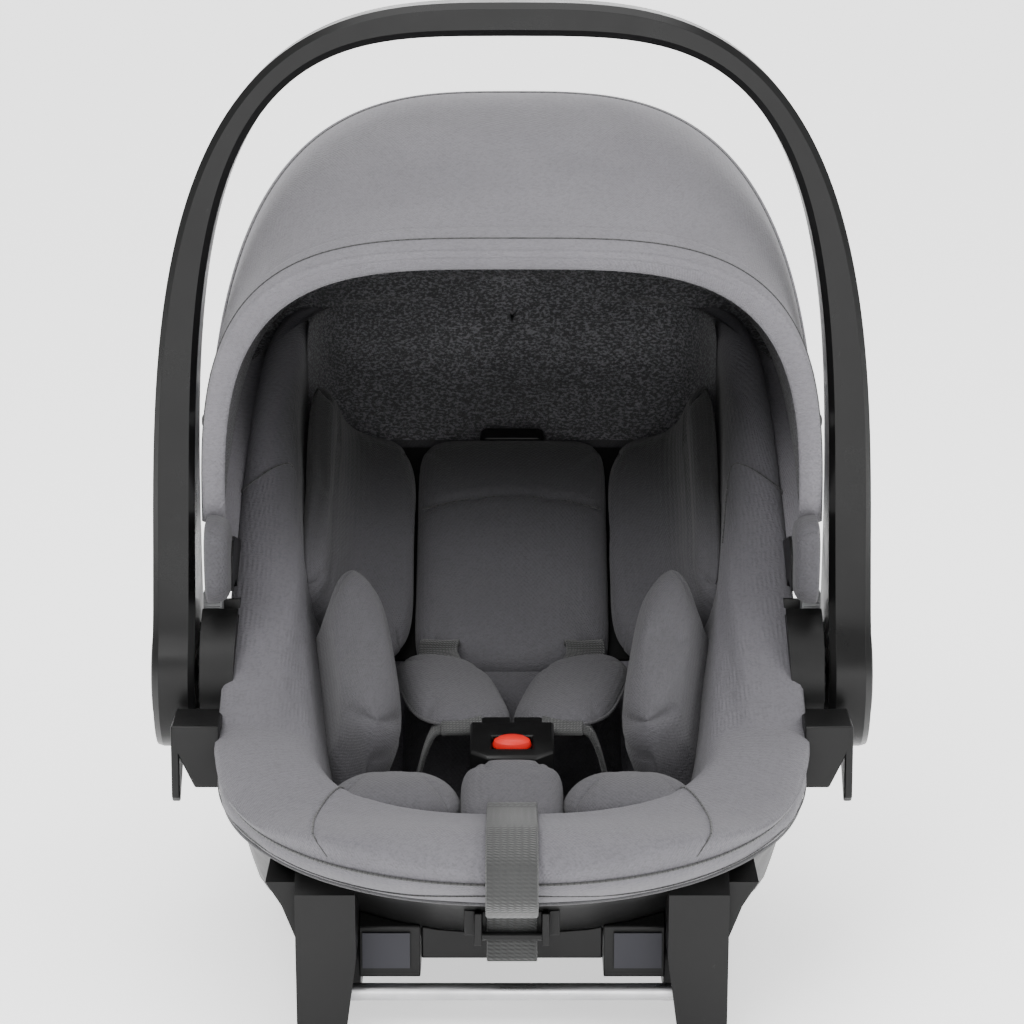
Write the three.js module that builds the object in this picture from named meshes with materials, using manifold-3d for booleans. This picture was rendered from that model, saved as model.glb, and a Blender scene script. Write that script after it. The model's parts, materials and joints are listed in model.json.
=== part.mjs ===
// Infant car seat carrier: a plastic bucket on two rocker rails with steel docking bars, a foam liner
// and padded cover, a five-point harness, a sliding headrest, a folding canopy and a swinging handle.
// Millimetres. X left to right, -Y the foot end, +Y the head end, +Z up, floor at Z 0.
// The origin is on the floor, straight below the handle's pivot axis.

import * as THREE from 'three';
import Module from 'manifold-3d';
import { LoftGeometry } from 'three/addons/geometries/LoftGeometry.js';
import { mergeVertices } from 'three/addons/utils/BufferGeometryUtils.js';

const wasm = await Module();
wasm.setup();

// ---------- Driving dimensions ----------

const gap = 0.3; // between pieces that touch

// The bucket: a moulded tub, cut off along a rim line that climbs towards the head.
const bucketHalfWidth = 171.5;
const bucketFront = 322;
const bucketRear = 329;
const bucketBelly = 24;
const bucketWall = 4;
const rimFront = 124;
const rimHip = 138;
const rimHead = 337;

// The seat well: the space inside the cover. Its back leans at one straight angle.
const wellHalfWidth = bucketHalfWidth - 30.5;
const wellFront = 217;
const wellFloor = 72;
const wellCrease = -12;
const backAngle = THREE.MathUtils.degToRad(35);
const liningThickness = 12;
const foamThickness = 26;
const skirtThickness = 3;
const coverRise = 8; // how far the padded rim stands above the plastic rim

// The docking channel under the belly, between the rails.
const channelHalfWidth = 86;
const channelTop = 43;

// The rocker rails.
const railInner = 88;
const railWidth = 34;
const footFrontY = -205;
const footRearY = 185;
const footLength = 38;
const barDiameter = 10;
const barHeight = 23;

// The handle and its hub.
const pivotZ = 160;
const bossRadius = 45;
const bossWidth = 18;
const handleSideWidth = 26;
const handleRise = 413;
const handleGripHeight = 20;
const handleDepth = 38;
const handleBevel = 4;
const pinRadius = 7;
const buttonRadius = 7;
const buttonTravel = 3;

// The canopy, on two bows that turn on one axis.
const canopyHingeY = -10;
const canopyHingeZ = 232;
const canopyHalfWidth = bucketHalfWidth + 15.5;
const canopyFabric = 2;
const bowThickness = 2.6;
const bowWidth = 9;
const frontBowAngle = -9.5;
const midBowAngle = 29;
const rearSeamAngle = 68.5;

// The headrest, which slides up the back.
const headrestHalfWidth = wellHalfWidth - 7;
const headrestCentre = 61;
const headrestLength = 190;
const headrestTopY = 244;
const headrestBoard = 3;
const headrestPad = 16;
const headrestTravel = 50;

// The harness.
const webbingThickness = 1.6;
const adjusterWidth = 29;
const harnessWidth = 25;
const crotchWidth = 30;
const buckleWidth = 50;
const buckleLength = 46;
const buckleDepth = 18;
const tongueThickness = 3;

// ---------- Shape helpers ----------

function solidOf( geometry ) {

	const bare = new THREE.BufferGeometry();
	bare.setAttribute( 'position', geometry.attributes.position );
	bare.setIndex( geometry.index );
	const merged = mergeVertices( bare, 1e-4 );
	return new wasm.Manifold( new wasm.Mesh( {
		numProp: 3,
		vertProperties: new Float32Array( merged.attributes.position.array ),
		triVerts: new Uint32Array( merged.index.array ),
	} ) );

}

function geometryOf( solid ) {

	const mesh = solid.getMesh();
	const geometry = new THREE.BufferGeometry();
	geometry.setAttribute( 'position', new THREE.BufferAttribute( mesh.vertProperties, 3 ) );
	geometry.setIndex( new THREE.BufferAttribute( mesh.triVerts, 1 ) );
	geometry.computeVertexNormals();
	return geometry;

}

// The largest body of a cut solid, without the slivers that a cut can leave beside it.
function mainBody( solid ) {

	const bodies = solid.decompose();
	bodies.sort( ( a, b ) => b.volume() - a.volume() );
	return bodies[ 0 ];

}

// A smooth curve through a short table of [ input, output ] rows, as a function.
function smooth( rows ) {

	const slope = ( i, j ) => ( rows[ j ][ 1 ] - rows[ i ][ 1 ] ) / ( rows[ j ][ 0 ] - rows[ i ][ 0 ] );
	const last = rows.length - 1;
	return ( value ) => {

		if ( value <= rows[ 0 ][ 0 ] ) return rows[ 0 ][ 1 ];
		if ( value >= rows[ last ][ 0 ] ) return rows[ last ][ 1 ];
		let i = 0;
		while ( value > rows[ i + 1 ][ 0 ] ) i ++;
		const width = rows[ i + 1 ][ 0 ] - rows[ i ][ 0 ];
		const t = ( value - rows[ i ][ 0 ] ) / width;
		const slopeIn = slope( Math.max( i - 1, 0 ), i + 1 ) * width;
		const slopeOut = slope( i, Math.min( i + 2, last ) ) * width;
		const t2 = t * t;
		const t3 = t2 * t;
		return ( 2 * t3 - 3 * t2 + 1 ) * rows[ i ][ 1 ] + ( t3 - 2 * t2 + t ) * slopeIn
			+ ( 3 * t2 - 2 * t3 ) * rows[ i + 1 ][ 1 ] + ( t3 - t2 ) * slopeOut;

	};

}

const signedPower = ( value, power ) => Math.sign( value ) * Math.abs( value ) ** power;

function outlineOf( points ) {

	const shape = new THREE.Shape();
	points.forEach( ( [ a, b ], i ) => ( i === 0 ? shape.moveTo( a, b ) : shape.lineTo( a, b ) ) );
	return shape;

}

// A flat outline of [ y, z ] points, extruded along X from one place to another.
function extrudeAlongX( points, x0, x1 ) {

	const shape = points instanceof THREE.Shape ? points : outlineOf( points );
	const geometry = new THREE.ExtrudeGeometry( shape, {
		depth: x1 - x0, bevelEnabled: false, curveSegments: 8, steps: 1,
	} );
	const turn = new THREE.Matrix4().makeBasis(
		new THREE.Vector3( 0, 1, 0 ), new THREE.Vector3( 0, 0, 1 ), new THREE.Vector3( 1, 0, 0 ) );
	return solidOf( geometry.applyMatrix4( turn ).translate( x0, 0, 0 ) );

}

// A flat outline of [ x, z ] points, extruded along Y from one place to another.
function extrudeAlongY( points, y0, y1 ) {

	const geometry = new THREE.ExtrudeGeometry( outlineOf( points ), {
		depth: y1 - y0, bevelEnabled: false, curveSegments: 8, steps: 1,
	} );
	return solidOf( geometry.rotateX( Math.PI / 2 ).translate( 0, y1, 0 ) );

}

function block( x0, x1, y0, y1, z0, z1 ) {

	const geometry = new THREE.BoxGeometry( x1 - x0, y1 - y0, z1 - z0 );
	return solidOf( geometry.translate( ( x0 + x1 ) / 2, ( y0 + y1 ) / 2, ( z0 + z1 ) / 2 ) );

}

// A round bar along X.
function barAlongX( radius, x0, x1, y, z, segments = 24 ) {

	const geometry = new THREE.CylinderGeometry( radius, radius, x1 - x0, segments );
	return solidOf( geometry.rotateZ( Math.PI / 2 ).translate( ( x0 + x1 ) / 2, y, z ) );

}

// A cushion: a box with every side bulged, from flat ( high power ) to ball-like ( power 2 ).
function cushion( halfX, halfY, halfZ, power, around = 18, rows = 10 ) {

	const geometry = new THREE.SphereGeometry( 1, around, rows );
	const position = geometry.attributes.position;
	for ( let i = 0; i < position.count; i ++ ) {

		position.setXYZ( i,
			halfX * signedPower( position.getX( i ), 2 / power ),
			halfY * signedPower( position.getY( i ), 2 / power ),
			halfZ * signedPower( position.getZ( i ), 2 / power ) );

	}

	return geometry;

}

// A flat band of webbing through a list of points, with its width along one direction.
function band( points, across, width, thickness ) {

	const route = points.map( ( p ) => new THREE.Vector3( ...p ) );
	const sections = route.map( ( point, i ) => {

		const before = route[ Math.max( i - 1, 0 ) ];
		const after = route[ Math.min( i + 1, route.length - 1 ) ];
		const along = after.clone().sub( before ).normalize();
		const side = across.clone().addScaledVector( along, - across.dot( along ) ).normalize();
		const up = side.clone().cross( along ).normalize();
		return [ [ - 1, - 1 ], [ 1, - 1 ], [ 1, 1 ], [ - 1, 1 ] ].map( ( [ a, b ] ) => point.clone()
			.addScaledVector( side, - a * width / 2 ).addScaledVector( up, b * thickness / 2 ) );

	} );
	return solidOf( loft( sections ) );

}

// A closed loft whose faces always point outwards.
function loft( sections ) {

	const geometry = new LoftGeometry( sections, { closed: true, capStart: true, capEnd: true } );
	return volumeOf( geometry ) > 0 ? geometry
		: new LoftGeometry( sections.toReversed(), { closed: true, capStart: true, capEnd: true } );

}

function volumeOf( geometry ) {

	const p = geometry.attributes.position;
	const corner = ( k ) => new THREE.Vector3().fromBufferAttribute( p, geometry.index.getX( k ) );
	let volume = 0;
	for ( let i = 0; i < geometry.index.count; i += 3 ) {

		volume += corner( i ).dot( corner( i + 1 ).cross( corner( i + 2 ) ) ) / 6;

	}

	return volume;

}

const mirrored = ( solid ) => solid.mirror( [ 1, 0, 0 ] );

// ---------- The bucket and the well as families of offset tubs ----------

const tubPoints = 40;
const tubWidest = 0.42; // the widest station, as a share of the way from front to rear
const frontPower = 2.2;
const bucketRearPower = 5;
const wellRearPower = 7;

function planSection( halfWidth, front, rear, z, rearPower ) {

	const centre = front + ( rear - front ) * tubWidest;
	return Array.from( { length: tubPoints }, ( _, i ) => {

		const angle = 2 * Math.PI * ( i + 0.5 ) / tubPoints;
		const power = Math.sin( angle ) > 0 ? rearPower : frontPower;
		const reach = Math.sin( angle ) > 0 ? rear - centre : centre - front;
		return new THREE.Vector3(
			halfWidth * signedPower( Math.cos( angle ), 2 / power ),
			centre + reach * signedPower( Math.sin( angle ), 2 / power ), z );

	} );

}

// A tub grown or shrunk by an offset: sideways at every level, and downwards less and less up its side.
function tub( rows, offset, rearPower ) {

	const bottom = rows[ 0 ].z;
	const sections = rows.map( ( row ) => planSection( row.half + offset, row.front - offset,
		row.rear + offset, row.z - offset * Math.max( 0, 1 - ( row.z - bottom ) / 100 ), rearPower ) );
	return solidOf( loft( sections ) );

}

const tubTop = rimHead + 30;

// Outer surface of the plastic bucket: how far each level reaches inside its overall size.
const bucketRows = [
	[ bucketBelly, 30, 212, 178 ],
	[ bucketBelly + 8, 18, 180, 146 ],
	[ bucketBelly + 20, 13, 148, 122 ],
	[ bucketBelly + 38, 10, 114, 102 ],
	[ bucketBelly + 58, 6.5, 84, 85 ],
	[ bucketBelly + 78, 2.5, 42, 70 ],
	[ bucketBelly + 96, 0.5, 8, 58 ],
	[ bucketBelly + 116, 0, 0, 46 ],
	[ bucketBelly + 176, 3, 0, 24 ],
	[ bucketBelly + 246, 5.5, 0, 7 ],
	[ tubTop, 7.5, 0, 0 ],
].map( ( [ z, side, foot, head ] ) => ( {
	z, half: bucketHalfWidth - side, front: foot - bucketFront, rear: bucketRear - head,
} ) );

// Inner surface of the padded seat: the back rises at backAngle until it meets the head wall.
const wellInset = bucketWall + liningThickness + 3; // least distance from the bucket's outer face
const headWall = bucketRear - wellInset;
const backAt = ( z ) => Math.min( wellCrease + ( z - wellFloor ) / Math.tan( backAngle ), headWall );
const wellRows = [
	[ wellFloor, 57, 155 ],
	[ wellFloor + 13, 43, 112 ],
	[ wellFloor + 28, 35, 67 ],
	[ wellFloor + 48, 29, 25 ],
	[ wellFloor + 64, 25, 0 ],
	[ wellFloor + 90, 20, - 22 ],
	[ wellFloor + 128, 11, - 35 ],
	[ wellFloor + 178, 4, - 45 ],
	[ wellFloor + 226, 1, - 50 ],
	[ tubTop + 1, 0, - 50 ],
].map( ( [ z, side, foot ] ) => ( {
	z, half: wellHalfWidth - side, front: foot - wellFront, rear: backAt( z ),
} ) );

const bucket = ( offset ) => tub( bucketRows, offset, bucketRearPower );
const well = ( offset ) => tub( wellRows, offset, wellRearPower ).intersect( bucket( offset - wellInset ) );

// Height of the plastic rim and of the padded rim above it, from the foot end to the head end.
const rimLine = smooth( [
	[ - bucketFront, rimFront ],
	[ - 215, rimFront + 2 ],
	[ - 120, rimHip - 4 ],
	[ - 60, rimHip ],
	[ - 22, rimHip + 14 ],
	[ 20, rimHip + 62 ],
	[ 120, rimHead - 57 ],
	[ 200, rimHead - 20 ],
	[ 260, rimHead - 2 ],
	[ bucketRear, rimHead ],
] );
const coverLine = smooth( [
	[ - bucketFront, rimFront + 15 ],
	[ - 296, rimFront + 22 ],
	[ - wellFront, rimFront + 11 ],
	[ - 120, rimHip + 5 ],
	[ - 60, rimHip + coverRise + 3 ],
	[ - 22, rimHip + coverRise + 18 ],
	[ 20, rimHip + coverRise + 66 ],
	[ 120, rimHead + coverRise - 56 ],
	[ 200, rimHead + coverRise - 17 ],
	[ 260, rimHead + coverRise - 1 ],
	[ bucketRear, rimHead + coverRise ],
] );
const skirtLine = smooth( [
	[ - bucketFront, 113 ],
	[ - 305, 106 ],
	[ - 282, 100 ],
	[ - 255, 104 ],
	[ - 215, 109 ],
	[ - 60, 112 ],
	[ 40, 118 ],
	[ 200, 205 ],
	[ bucketRear, 270 ],
] );

// Everything between two lines of height, across the whole width.
function between( low, high ) {

	const reach = bucketHalfWidth + 60;
	const from = - bucketFront - 20;
	const steps = 34;
	const stations = Array.from( { length: steps + 1 }, ( _, i ) =>
		from + ( bucketRear + 20 - from ) * i / steps );
	const lower = stations.map( ( y ) => [ y, low( y ) ] );
	const upper = stations.toReversed().map( ( y ) => [ y, high( y ) ] );
	return extrudeAlongX( [ ...lower, ...upper ], - reach, reach );

}

const floorLine = () => - 5;
const belowRim = between( floorLine, rimLine );

// ---------- Handle outline ----------

const hubInner = bucketHalfWidth + 1 + bossWidth;
const handleInner = hubInner + 3;
const handleOuter = handleInner + handleSideWidth;
const shoulderZ = pivotZ + 45; // where the straight legs of the handle start to bow inwards
const outerPower = 3.1;
const innerPower = 3.6;

// The two corners of the handle's section, outer and inner, at a share of the way round it.
function handleSection( angle ) {

	const c = Math.cos( angle );
	const s = Math.sin( angle );
	const outerRise = pivotZ + handleRise - shoulderZ;
	const innerRise = outerRise - handleGripHeight;
	return {
		outer: [ handleOuter * signedPower( c, 2 / outerPower ),
			shoulderZ + outerRise * s ** ( 2 / outerPower ) ],
		inner: [ handleInner * signedPower( c, 2 / innerPower ),
			shoulderZ + innerRise * s ** ( 2 / innerPower ) ],
	};

}

// One section of the handle, an eight-cornered bar: bevelled edges outside, small ones inside.
function handleRing( [ outerX, outerZ ], [ innerX, innerZ ], depth ) {

	const outer = new THREE.Vector3( outerX, 0, outerZ );
	const inner = new THREE.Vector3( innerX, 0, innerZ );
	const inward = inner.clone().sub( outer ).normalize();
	const thickness = outer.distanceTo( inner );
	const half = depth / 2;
	const corner = ( along, y ) => outer.clone().addScaledVector( inward, along ).setY( y );
	return [
		corner( 0, - half + 2 * handleBevel ),
		corner( handleBevel, - half ),
		corner( thickness - handleBevel / 2, - half ),
		corner( thickness, - half + handleBevel / 2 ),
		corner( thickness, half - handleBevel / 2 ),
		corner( thickness - handleBevel / 2, half ),
		corner( handleBevel, half ),
		corner( 0, half - 2 * handleBevel ),
	];

}

function makeHandleBow() {

	const legDepth = smooth( [ [ pivotZ + 20, 76 ], [ pivotZ + 60, 56 ], [ pivotZ + 120, 44 ],
		[ pivotZ + 220, handleDepth ] ] );
	const steps = 36;
	const legs = [ pivotZ + 8, pivotZ + 26 ];
	const rings = [];
	for ( const z of legs ) rings.push( handleRing( [ handleOuter, z ], [ handleInner, z ], legDepth( z ) ) );
	for ( let i = 0; i <= steps; i ++ ) {

		const share = ( i / steps - 0.5 ) * 2;
		const angle = Math.PI * ( 0.5 + 0.5 * signedPower( share, 0.8 ) );
		const { outer, inner } = handleSection( angle );
		rings.push( handleRing( outer, inner, legDepth( outer[ 1 ] ) ) );

	}

	for ( const z of legs.toReversed() ) {

		rings.push( handleRing( [ - handleOuter, z ], [ - handleInner, z ], legDepth( z ) ) );

	}

	let bow = solidOf( loft( rings ) );
	for ( const side of [ - 1, 1 ] ) {

		const [ x0, x1 ] = side > 0 ? [ handleInner, handleOuter ] : [ - handleOuter, - handleInner ];
		bow = bow.add( barAlongX( bossRadius + 2, x0, x1, 0, pivotZ, 40 ) );
		const bore = barAlongX( pinRadius + 0.05, Math.min( side * ( handleInner - 5 ), side * ( handleInner + 16 ) ),
			Math.max( side * ( handleInner - 5 ), side * ( handleInner + 16 ) ), 0, pivotZ );
		bow = bow.subtract( bore );

	}

	return mainBody( bow );

}

// ---------- Hub ----------

const bossInner = bucketHalfWidth + 0.8;
const buttonY = - 6;
const buttonZ = pivotZ + bossRadius + 1;
const pocket = { y: buttonRadius + 1, drop: buttonRadius + 3 };

function makeHubBoss() {

	const body = barAlongX( bossRadius, bossInner - 6, hubInner, 0, pivotZ, 40 );
	const notch = block( bossInner - 10, hubInner + 1, buttonY - pocket.y, buttonY + pocket.y,
		buttonZ - pocket.drop, buttonZ + 40 );
	const bore = barAlongX( pinRadius + 0.05, bossInner + 5, hubInner + 1, 0, pivotZ );
	return body.subtract( notch ).subtract( bore );

}

const makePivotPin = () => barAlongX( pinRadius, bossInner + 5 + gap, handleInner + 15, 0, pivotZ );

function makeHandleButton() {

	const start = bossInner + buttonTravel + 3;
	const face = barAlongX( buttonRadius, start, hubInner - 2, buttonY, buttonZ );
	const collar = barAlongX( buttonRadius - 2, hubInner - 2.01, hubInner - 0.5, buttonY, buttonZ );
	return face.add( collar );

}

// ---------- Bucket, liner and cover ----------

const channel = ( grow ) => block( - channelHalfWidth - grow, channelHalfWidth + grow,
	- bucketFront - 60, bucketRear + 60, - 20, channelTop + grow );

function makeShell() {

	const outer = bucket( 0 ).subtract( channel( 0 ) );
	const hollow = bucket( - bucketWall ).subtract( channel( bucketWall ) );
	return mainBody( outer.subtract( hollow ).intersect( belowRim ) );

}

const adjusterPocket = { halfX: 20, y0: - wellFront - 4, y1: - wellFront + 26, floor: 104 };

const adjusterHole = () => block( - adjusterPocket.halfX - gap, adjusterPocket.halfX + gap,
	adjusterPocket.y0 - gap, adjusterPocket.y1 + gap, adjusterPocket.floor - gap, 200 );

function makeFoamLiner() {

	const outer = bucket( - bucketWall - gap ).intersect( well( liningThickness + foamThickness ) );
	return mainBody( outer.subtract( channel( bucketWall + gap ) ).subtract( adjusterHole() )
		.subtract( well( liningThickness + gap ) ).intersect( belowRim ) );

}

function makeSeatCover() {

	const rimAbove = between( ( y ) => rimLine( y ) + gap, coverLine );
	const roll = bucket( gap + skirtThickness ).intersect( rimAbove );
	const skirtZone = between( skirtLine, ( y ) => rimLine( y ) + 2 * gap );
	const skirt = bucket( gap + skirtThickness ).subtract( bucket( gap ) ).intersect( skirtZone );
	const lining = well( liningThickness ).intersect( between( floorLine, ( y ) => rimLine( y ) + 2 * gap ) );
	let cover = roll.add( skirt ).add( lining ).subtract( well( 0 ) );
	for ( const side of [ - 1, 1 ] ) {

		const centre = side * ( bucketHalfWidth + 8 );
		cover = cover.subtract( barAlongX( bossRadius + gap, centre - 16, centre + 16, 0, pivotZ, 40 ) );

	}

	return mainBody( cover.subtract( adjusterHole() ) );

}

// ---------- Insert cushions in the well ----------

const inWell = well( - 0.5 );
const backDirection = new THREE.Vector3( 0, Math.cos( backAngle ), Math.sin( backAngle ) );
const backNormal = new THREE.Vector3( 0, - Math.sin( backAngle ), Math.cos( backAngle ) );

// A point given by its place across, its distance up the back and its height above the back.
const onBack = ( x, along, above ) => new THREE.Vector3( x, wellCrease, wellFloor )
	.addScaledVector( backDirection, along ).addScaledVector( backNormal, above );

const padHalfWidth = headrestCentre + 7;
const padBase = 0.6 + headrestBoard + gap;
const headrestStart = ( headrestTopY - wellCrease ) / Math.cos( backAngle ) - headrestLength;

const insertEnd = onBack( 0, headrestStart - 3, padBase + headrestPad + 3 ).y;

function makeSeatPad() {

	const layer = inWell.subtract( well( - 9 ) );
	const zone = block( - padHalfWidth, padHalfWidth, - 82, insertEnd, 0, 400 );
	return mainBody( layer.intersect( zone ) );

}

function makeThighPad() {

	const pad = cushion( 40, 56, 22, 2.6 );
	const place = new THREE.Matrix4().makeRotationX( - 0.26 ).setPosition( 70, - 142, 112 );
	return solidOf( pad.applyMatrix4( place ) ).subtract( block( 0, 29, - 300, 0, 0, 300 ) )
		.subtract( block( 0, 300, - 83, 0, 0, 300 ) );

}

function makeBolster() {

	const pad = cushion( 20, 82, 46, 2.5 );
	const place = new THREE.Matrix4().makeRotationX( 0.5 ).setPosition( 92, - 26, 152 );
	const clear = block( 0, padHalfWidth + gap, - 300, 300, 0, 400 );
	return solidOf( pad.applyMatrix4( place ) ).subtract( clear )
		.subtract( block( 0, 300, insertEnd, 300, 0, 400 ) )
		.subtract( thighPad.translate( [ 0, gap, gap ] ) ).subtract( thighPad );

}

// ---------- Headrest ----------

// Extrudes an outline of [ across, above ] points up the back, between two distances along it.
function alongBack( points, from, to ) {

	const geometry = new THREE.ExtrudeGeometry( outlineOf( points ), {
		depth: to - from, bevelEnabled: false, curveSegments: 8, steps: 1,
	} );
	const across = new THREE.Vector3( 1, 0, 0 );
	geometry.applyMatrix4( new THREE.Matrix4().makeBasis( across, backNormal, backDirection.clone().negate() ) );
	const start = onBack( 0, to, 0 );
	return solidOf( geometry.translate( start.x, start.y, start.z ) );

}

// The trough shape of the headrest at one depth below its outer face, from the middle to a wing tip.
const wingTip = 84;
const wingBend = 34;

function troughPath( depth, tip = wingTip ) {

	const radius = wingBend - depth;
	const arc = Array.from( { length: 7 }, ( _, i ) => {

		const angle = ( Math.PI / 2 ) * i / 6;
		return [ headrestHalfWidth - depth - radius + radius * Math.sin( angle ),
			depth + radius - radius * Math.cos( angle ) ];

	} );
	return [ ...arc, [ headrestHalfWidth - depth, tip ] ];

}

const headrestEnd = headrestStart + headrestLength;

// The part of the well that stays clear as the headrest slides from its lowest to its highest place.
const headrestSlide = backDirection.clone().multiplyScalar( - headrestTravel - 5 ).toArray();
const headrestRoom = inWell.intersect( inWell.translate( headrestSlide ) );

function makeHeadrestBoard() {

	const both = ( path ) => [ ...path.toReversed().map( ( [ x, n ] ) => [ - x, n ] ), ...path ];
	const outer = both( troughPath( 0.6, wingTip - 12 ) );
	const inner = both( troughPath( 0.6 + headrestBoard, wingTip - 12 ) );
	const board = alongBack( [ ...outer, ...inner.toReversed() ], headrestStart, headrestEnd );
	return mainBody( board.intersect( headrestRoom ) );

}

function makeHeadrestPad() {

	const half = headrestCentre;
	const top = padBase + headrestPad;
	const outline = [ [ - half, padBase ], [ half, padBase ], [ half, top - 5 ], [ half - 6, top ],
		[ 6 - half, top ], [ - half, top - 5 ] ];
	return alongBack( outline, headrestStart, headrestEnd );

}

function makeHeadrestWing() {

	const outer = troughPath( padBase );
	const inner = troughPath( padBase + headrestPad + 2 );
	const outline = [ [ headrestCentre + gap, padBase ], ...outer,
		...inner.toReversed(), [ headrestCentre + gap, padBase + headrestPad + 2 ] ];
	return alongBack( outline, headrestStart + 2, headrestEnd - 2 );

}

function makeHeadrestLatch() {

	const outline = [ [ - 22, 1.5 ], [ 22, 1.5 ], [ 22, 9 ], [ 18, 12 ], [ - 18, 12 ], [ - 22, 9 ] ];
	return alongBack( outline, headrestEnd + gap, headrestEnd + 11 );

}

// ---------- Harness ----------

const buckleTilt = THREE.MathUtils.degToRad( 12 );
const buckleCentre = new THREE.Vector3( 0, - 98, 135 );
const buckleFrame = new THREE.Matrix4().makeRotationX( buckleTilt ).setPosition( buckleCentre );
const buckleAxis = new THREE.Vector3( 0, Math.cos( buckleTilt ), Math.sin( buckleTilt ) );

function buckleBlock( x0, x1, s0, s1, n0, n1 ) {

	return block( x0, x1, s0, s1, n0, n1 ).transform( buckleFrame.elements );

}

const buckleSlot = { half: buckleWidth / 2 - 2.5, depth: buckleLength * 0.4, high: tongueThickness + 1 };

function makeBuckleBody() {

	const half = buckleWidth / 2;
	const end = buckleLength / 2;
	const thick = buckleDepth / 2;
	const slot = buckleBlock( - buckleSlot.half, buckleSlot.half, end - buckleSlot.depth, end + 1,
		- buckleSlot.high / 2, buckleSlot.high / 2 );
	const well = buckleBlock( - 12.3, 12.3, - 12.3, 4.3, thick - 6, thick + 1 );
	const corners = [ [ - half, - end + 8 ], [ - half + 10, - end ], [ half - 10, - end ], [ half, - end + 8 ],
		[ half, end ], [ - half, end ] ];
	const geometry = new THREE.ExtrudeGeometry( outlineOf( corners ), {
		depth: buckleDepth - 4, bevelEnabled: true, bevelThickness: 2, bevelSize: 2, bevelOffset: - 2,
		bevelSegments: 2,
	} );
	const body = solidOf( geometry.translate( 0, 0, 2 - thick ).applyMatrix4( buckleFrame ) );
	return mainBody( body.subtract( slot ).subtract( well ) );

}

function makeBuckleButton() {

	const button = new THREE.CylinderGeometry( 1, 1, 6, 28 ).rotateX( Math.PI / 2 ).scale( 12, 8, 1 );
	return solidOf( button.translate( 0, - 4, buckleDepth / 2 - 1.2 + 0.6 ).applyMatrix4( buckleFrame ) );

}

const tongueReach = 20;

function makeTongue() {

	const end = buckleLength / 2;
	const blade = buckleBlock( 1, buckleSlot.half - gap - 0.5, end - buckleSlot.depth + 1, end + 4,
		- tongueThickness / 2, tongueThickness / 2 );
	const plate = buckleBlock( 1, 42, end + 1.5, end + tongueReach, - tongueThickness / 2, tongueThickness / 2 );
	return blade.add( plate );

}

const padLength = 112;
const shoulderPadWidth = 58;
const shoulderPadPlace = ( () => {

	const along = new THREE.Vector3( 0.2, 0.96, 0.12 ).normalize();
	const up = new THREE.Vector3( - 0.2, - 0.1, 1 ).normalize();
	const across = along.clone().cross( up ).normalize();
	return new THREE.Matrix4().makeBasis( across, along, across.clone().cross( along ) )
		.setPosition( 35, 4, 150 );

} )();

function makeShoulderPad() {

	const pad = cushion( shoulderPadWidth / 2, padLength / 2, 6, 3.2 ).applyMatrix4( shoulderPadPlace );
	const edge = block( padHalfWidth - 1, 200, - 300, 300, 0, 400 ).add( block( - 50, 1.5, - 300, 300, 0, 400 ) );
	return solidOf( pad ).subtract( edge );

}

const acrossX = new THREE.Vector3( 1, 0, 0 );
const farEnd = new THREE.Vector3( 0, padLength / 2 + 4.2, 0 ).applyMatrix4( shoulderPadPlace );
const strapSlot = onBack( 38, headrestStart + 30, padBase + headrestPad + 3.2 );

function makeShoulderStrap() {

	const middle = farEnd.clone().lerp( strapSlot, 0.5 ).add( new THREE.Vector3( 0, 0, 2 ) );
	return band( [ farEnd.toArray(), middle.toArray(), strapSlot.toArray() ], acrossX,
		harnessWidth, webbingThickness );

}

function makeLapStrap() {

	const middle = ( buckleLength + tongueReach + 1.5 ) / 2;
	const start = new THREE.Vector3( 43.8, middle, 0 ).applyMatrix4( buckleFrame );
	const route = [ start.toArray(), [ 50, start.y, start.z - 8 ], [ 57, start.y + 2, start.z - 30 ] ];
	return band( route, buckleAxis, tongueReach - 3, webbingThickness );

}

function makeCrotchStrap() {

	const top = new THREE.Vector3( 0, - buckleLength / 2 - 0.8, 0 ).applyMatrix4( buckleFrame );
	const route = [ [ 0, top.y + 6, 96 ], [ 0, top.y + 1, 112 ], top.toArray() ];
	return mainBody( band( route, acrossX, crotchWidth, webbingThickness ).intersect( inWell ) );

}

function makeCrotchPad() {

	const pad = cushion( 28.5, 44, 17, 2.8 );
	const place = new THREE.Matrix4().makeRotationX( 0.12 ).setPosition( 0, - 168, 119 );
	const front = block( - 60, 60, - 400, adjusterPocket.y1 + 1, 0, 400 );
	return mainBody( solidOf( pad.applyMatrix4( place ) ).intersect( inWell ).subtract( front ) );

}

// ---------- Harness adjuster, its strap and the strap clip ----------

function makeAdjusterHousing() {

	const { halfX, y0, y1, floor } = adjusterPocket;
	const body = block( - halfX, halfX, y0, y1, floor, floor + 21 );
	const leverRecess = block( - 11, 11, y1 - 14, y1 + 1, floor + 14, floor + 30 );
	return body.subtract( leverRecess );

}

const leverPivot = { y: - wellFront + 12.5, z: adjusterPocket.floor + 20 };

function makeAdjusterLever() {

	const outline = [ [ leverPivot.y, leverPivot.z ], [ leverPivot.y + 12, leverPivot.z ],
		[ leverPivot.y + 12, leverPivot.z + 6 ], [ leverPivot.y + 2, leverPivot.z + 4 ],
		[ leverPivot.y, leverPivot.z + 3 ] ];
	return extrudeAlongX( outline, - 10, 10 );

}

const strapFront = - bucketFront - skirtThickness - gap;
const clipY = - 241;
const clipZ = 74;

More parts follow.
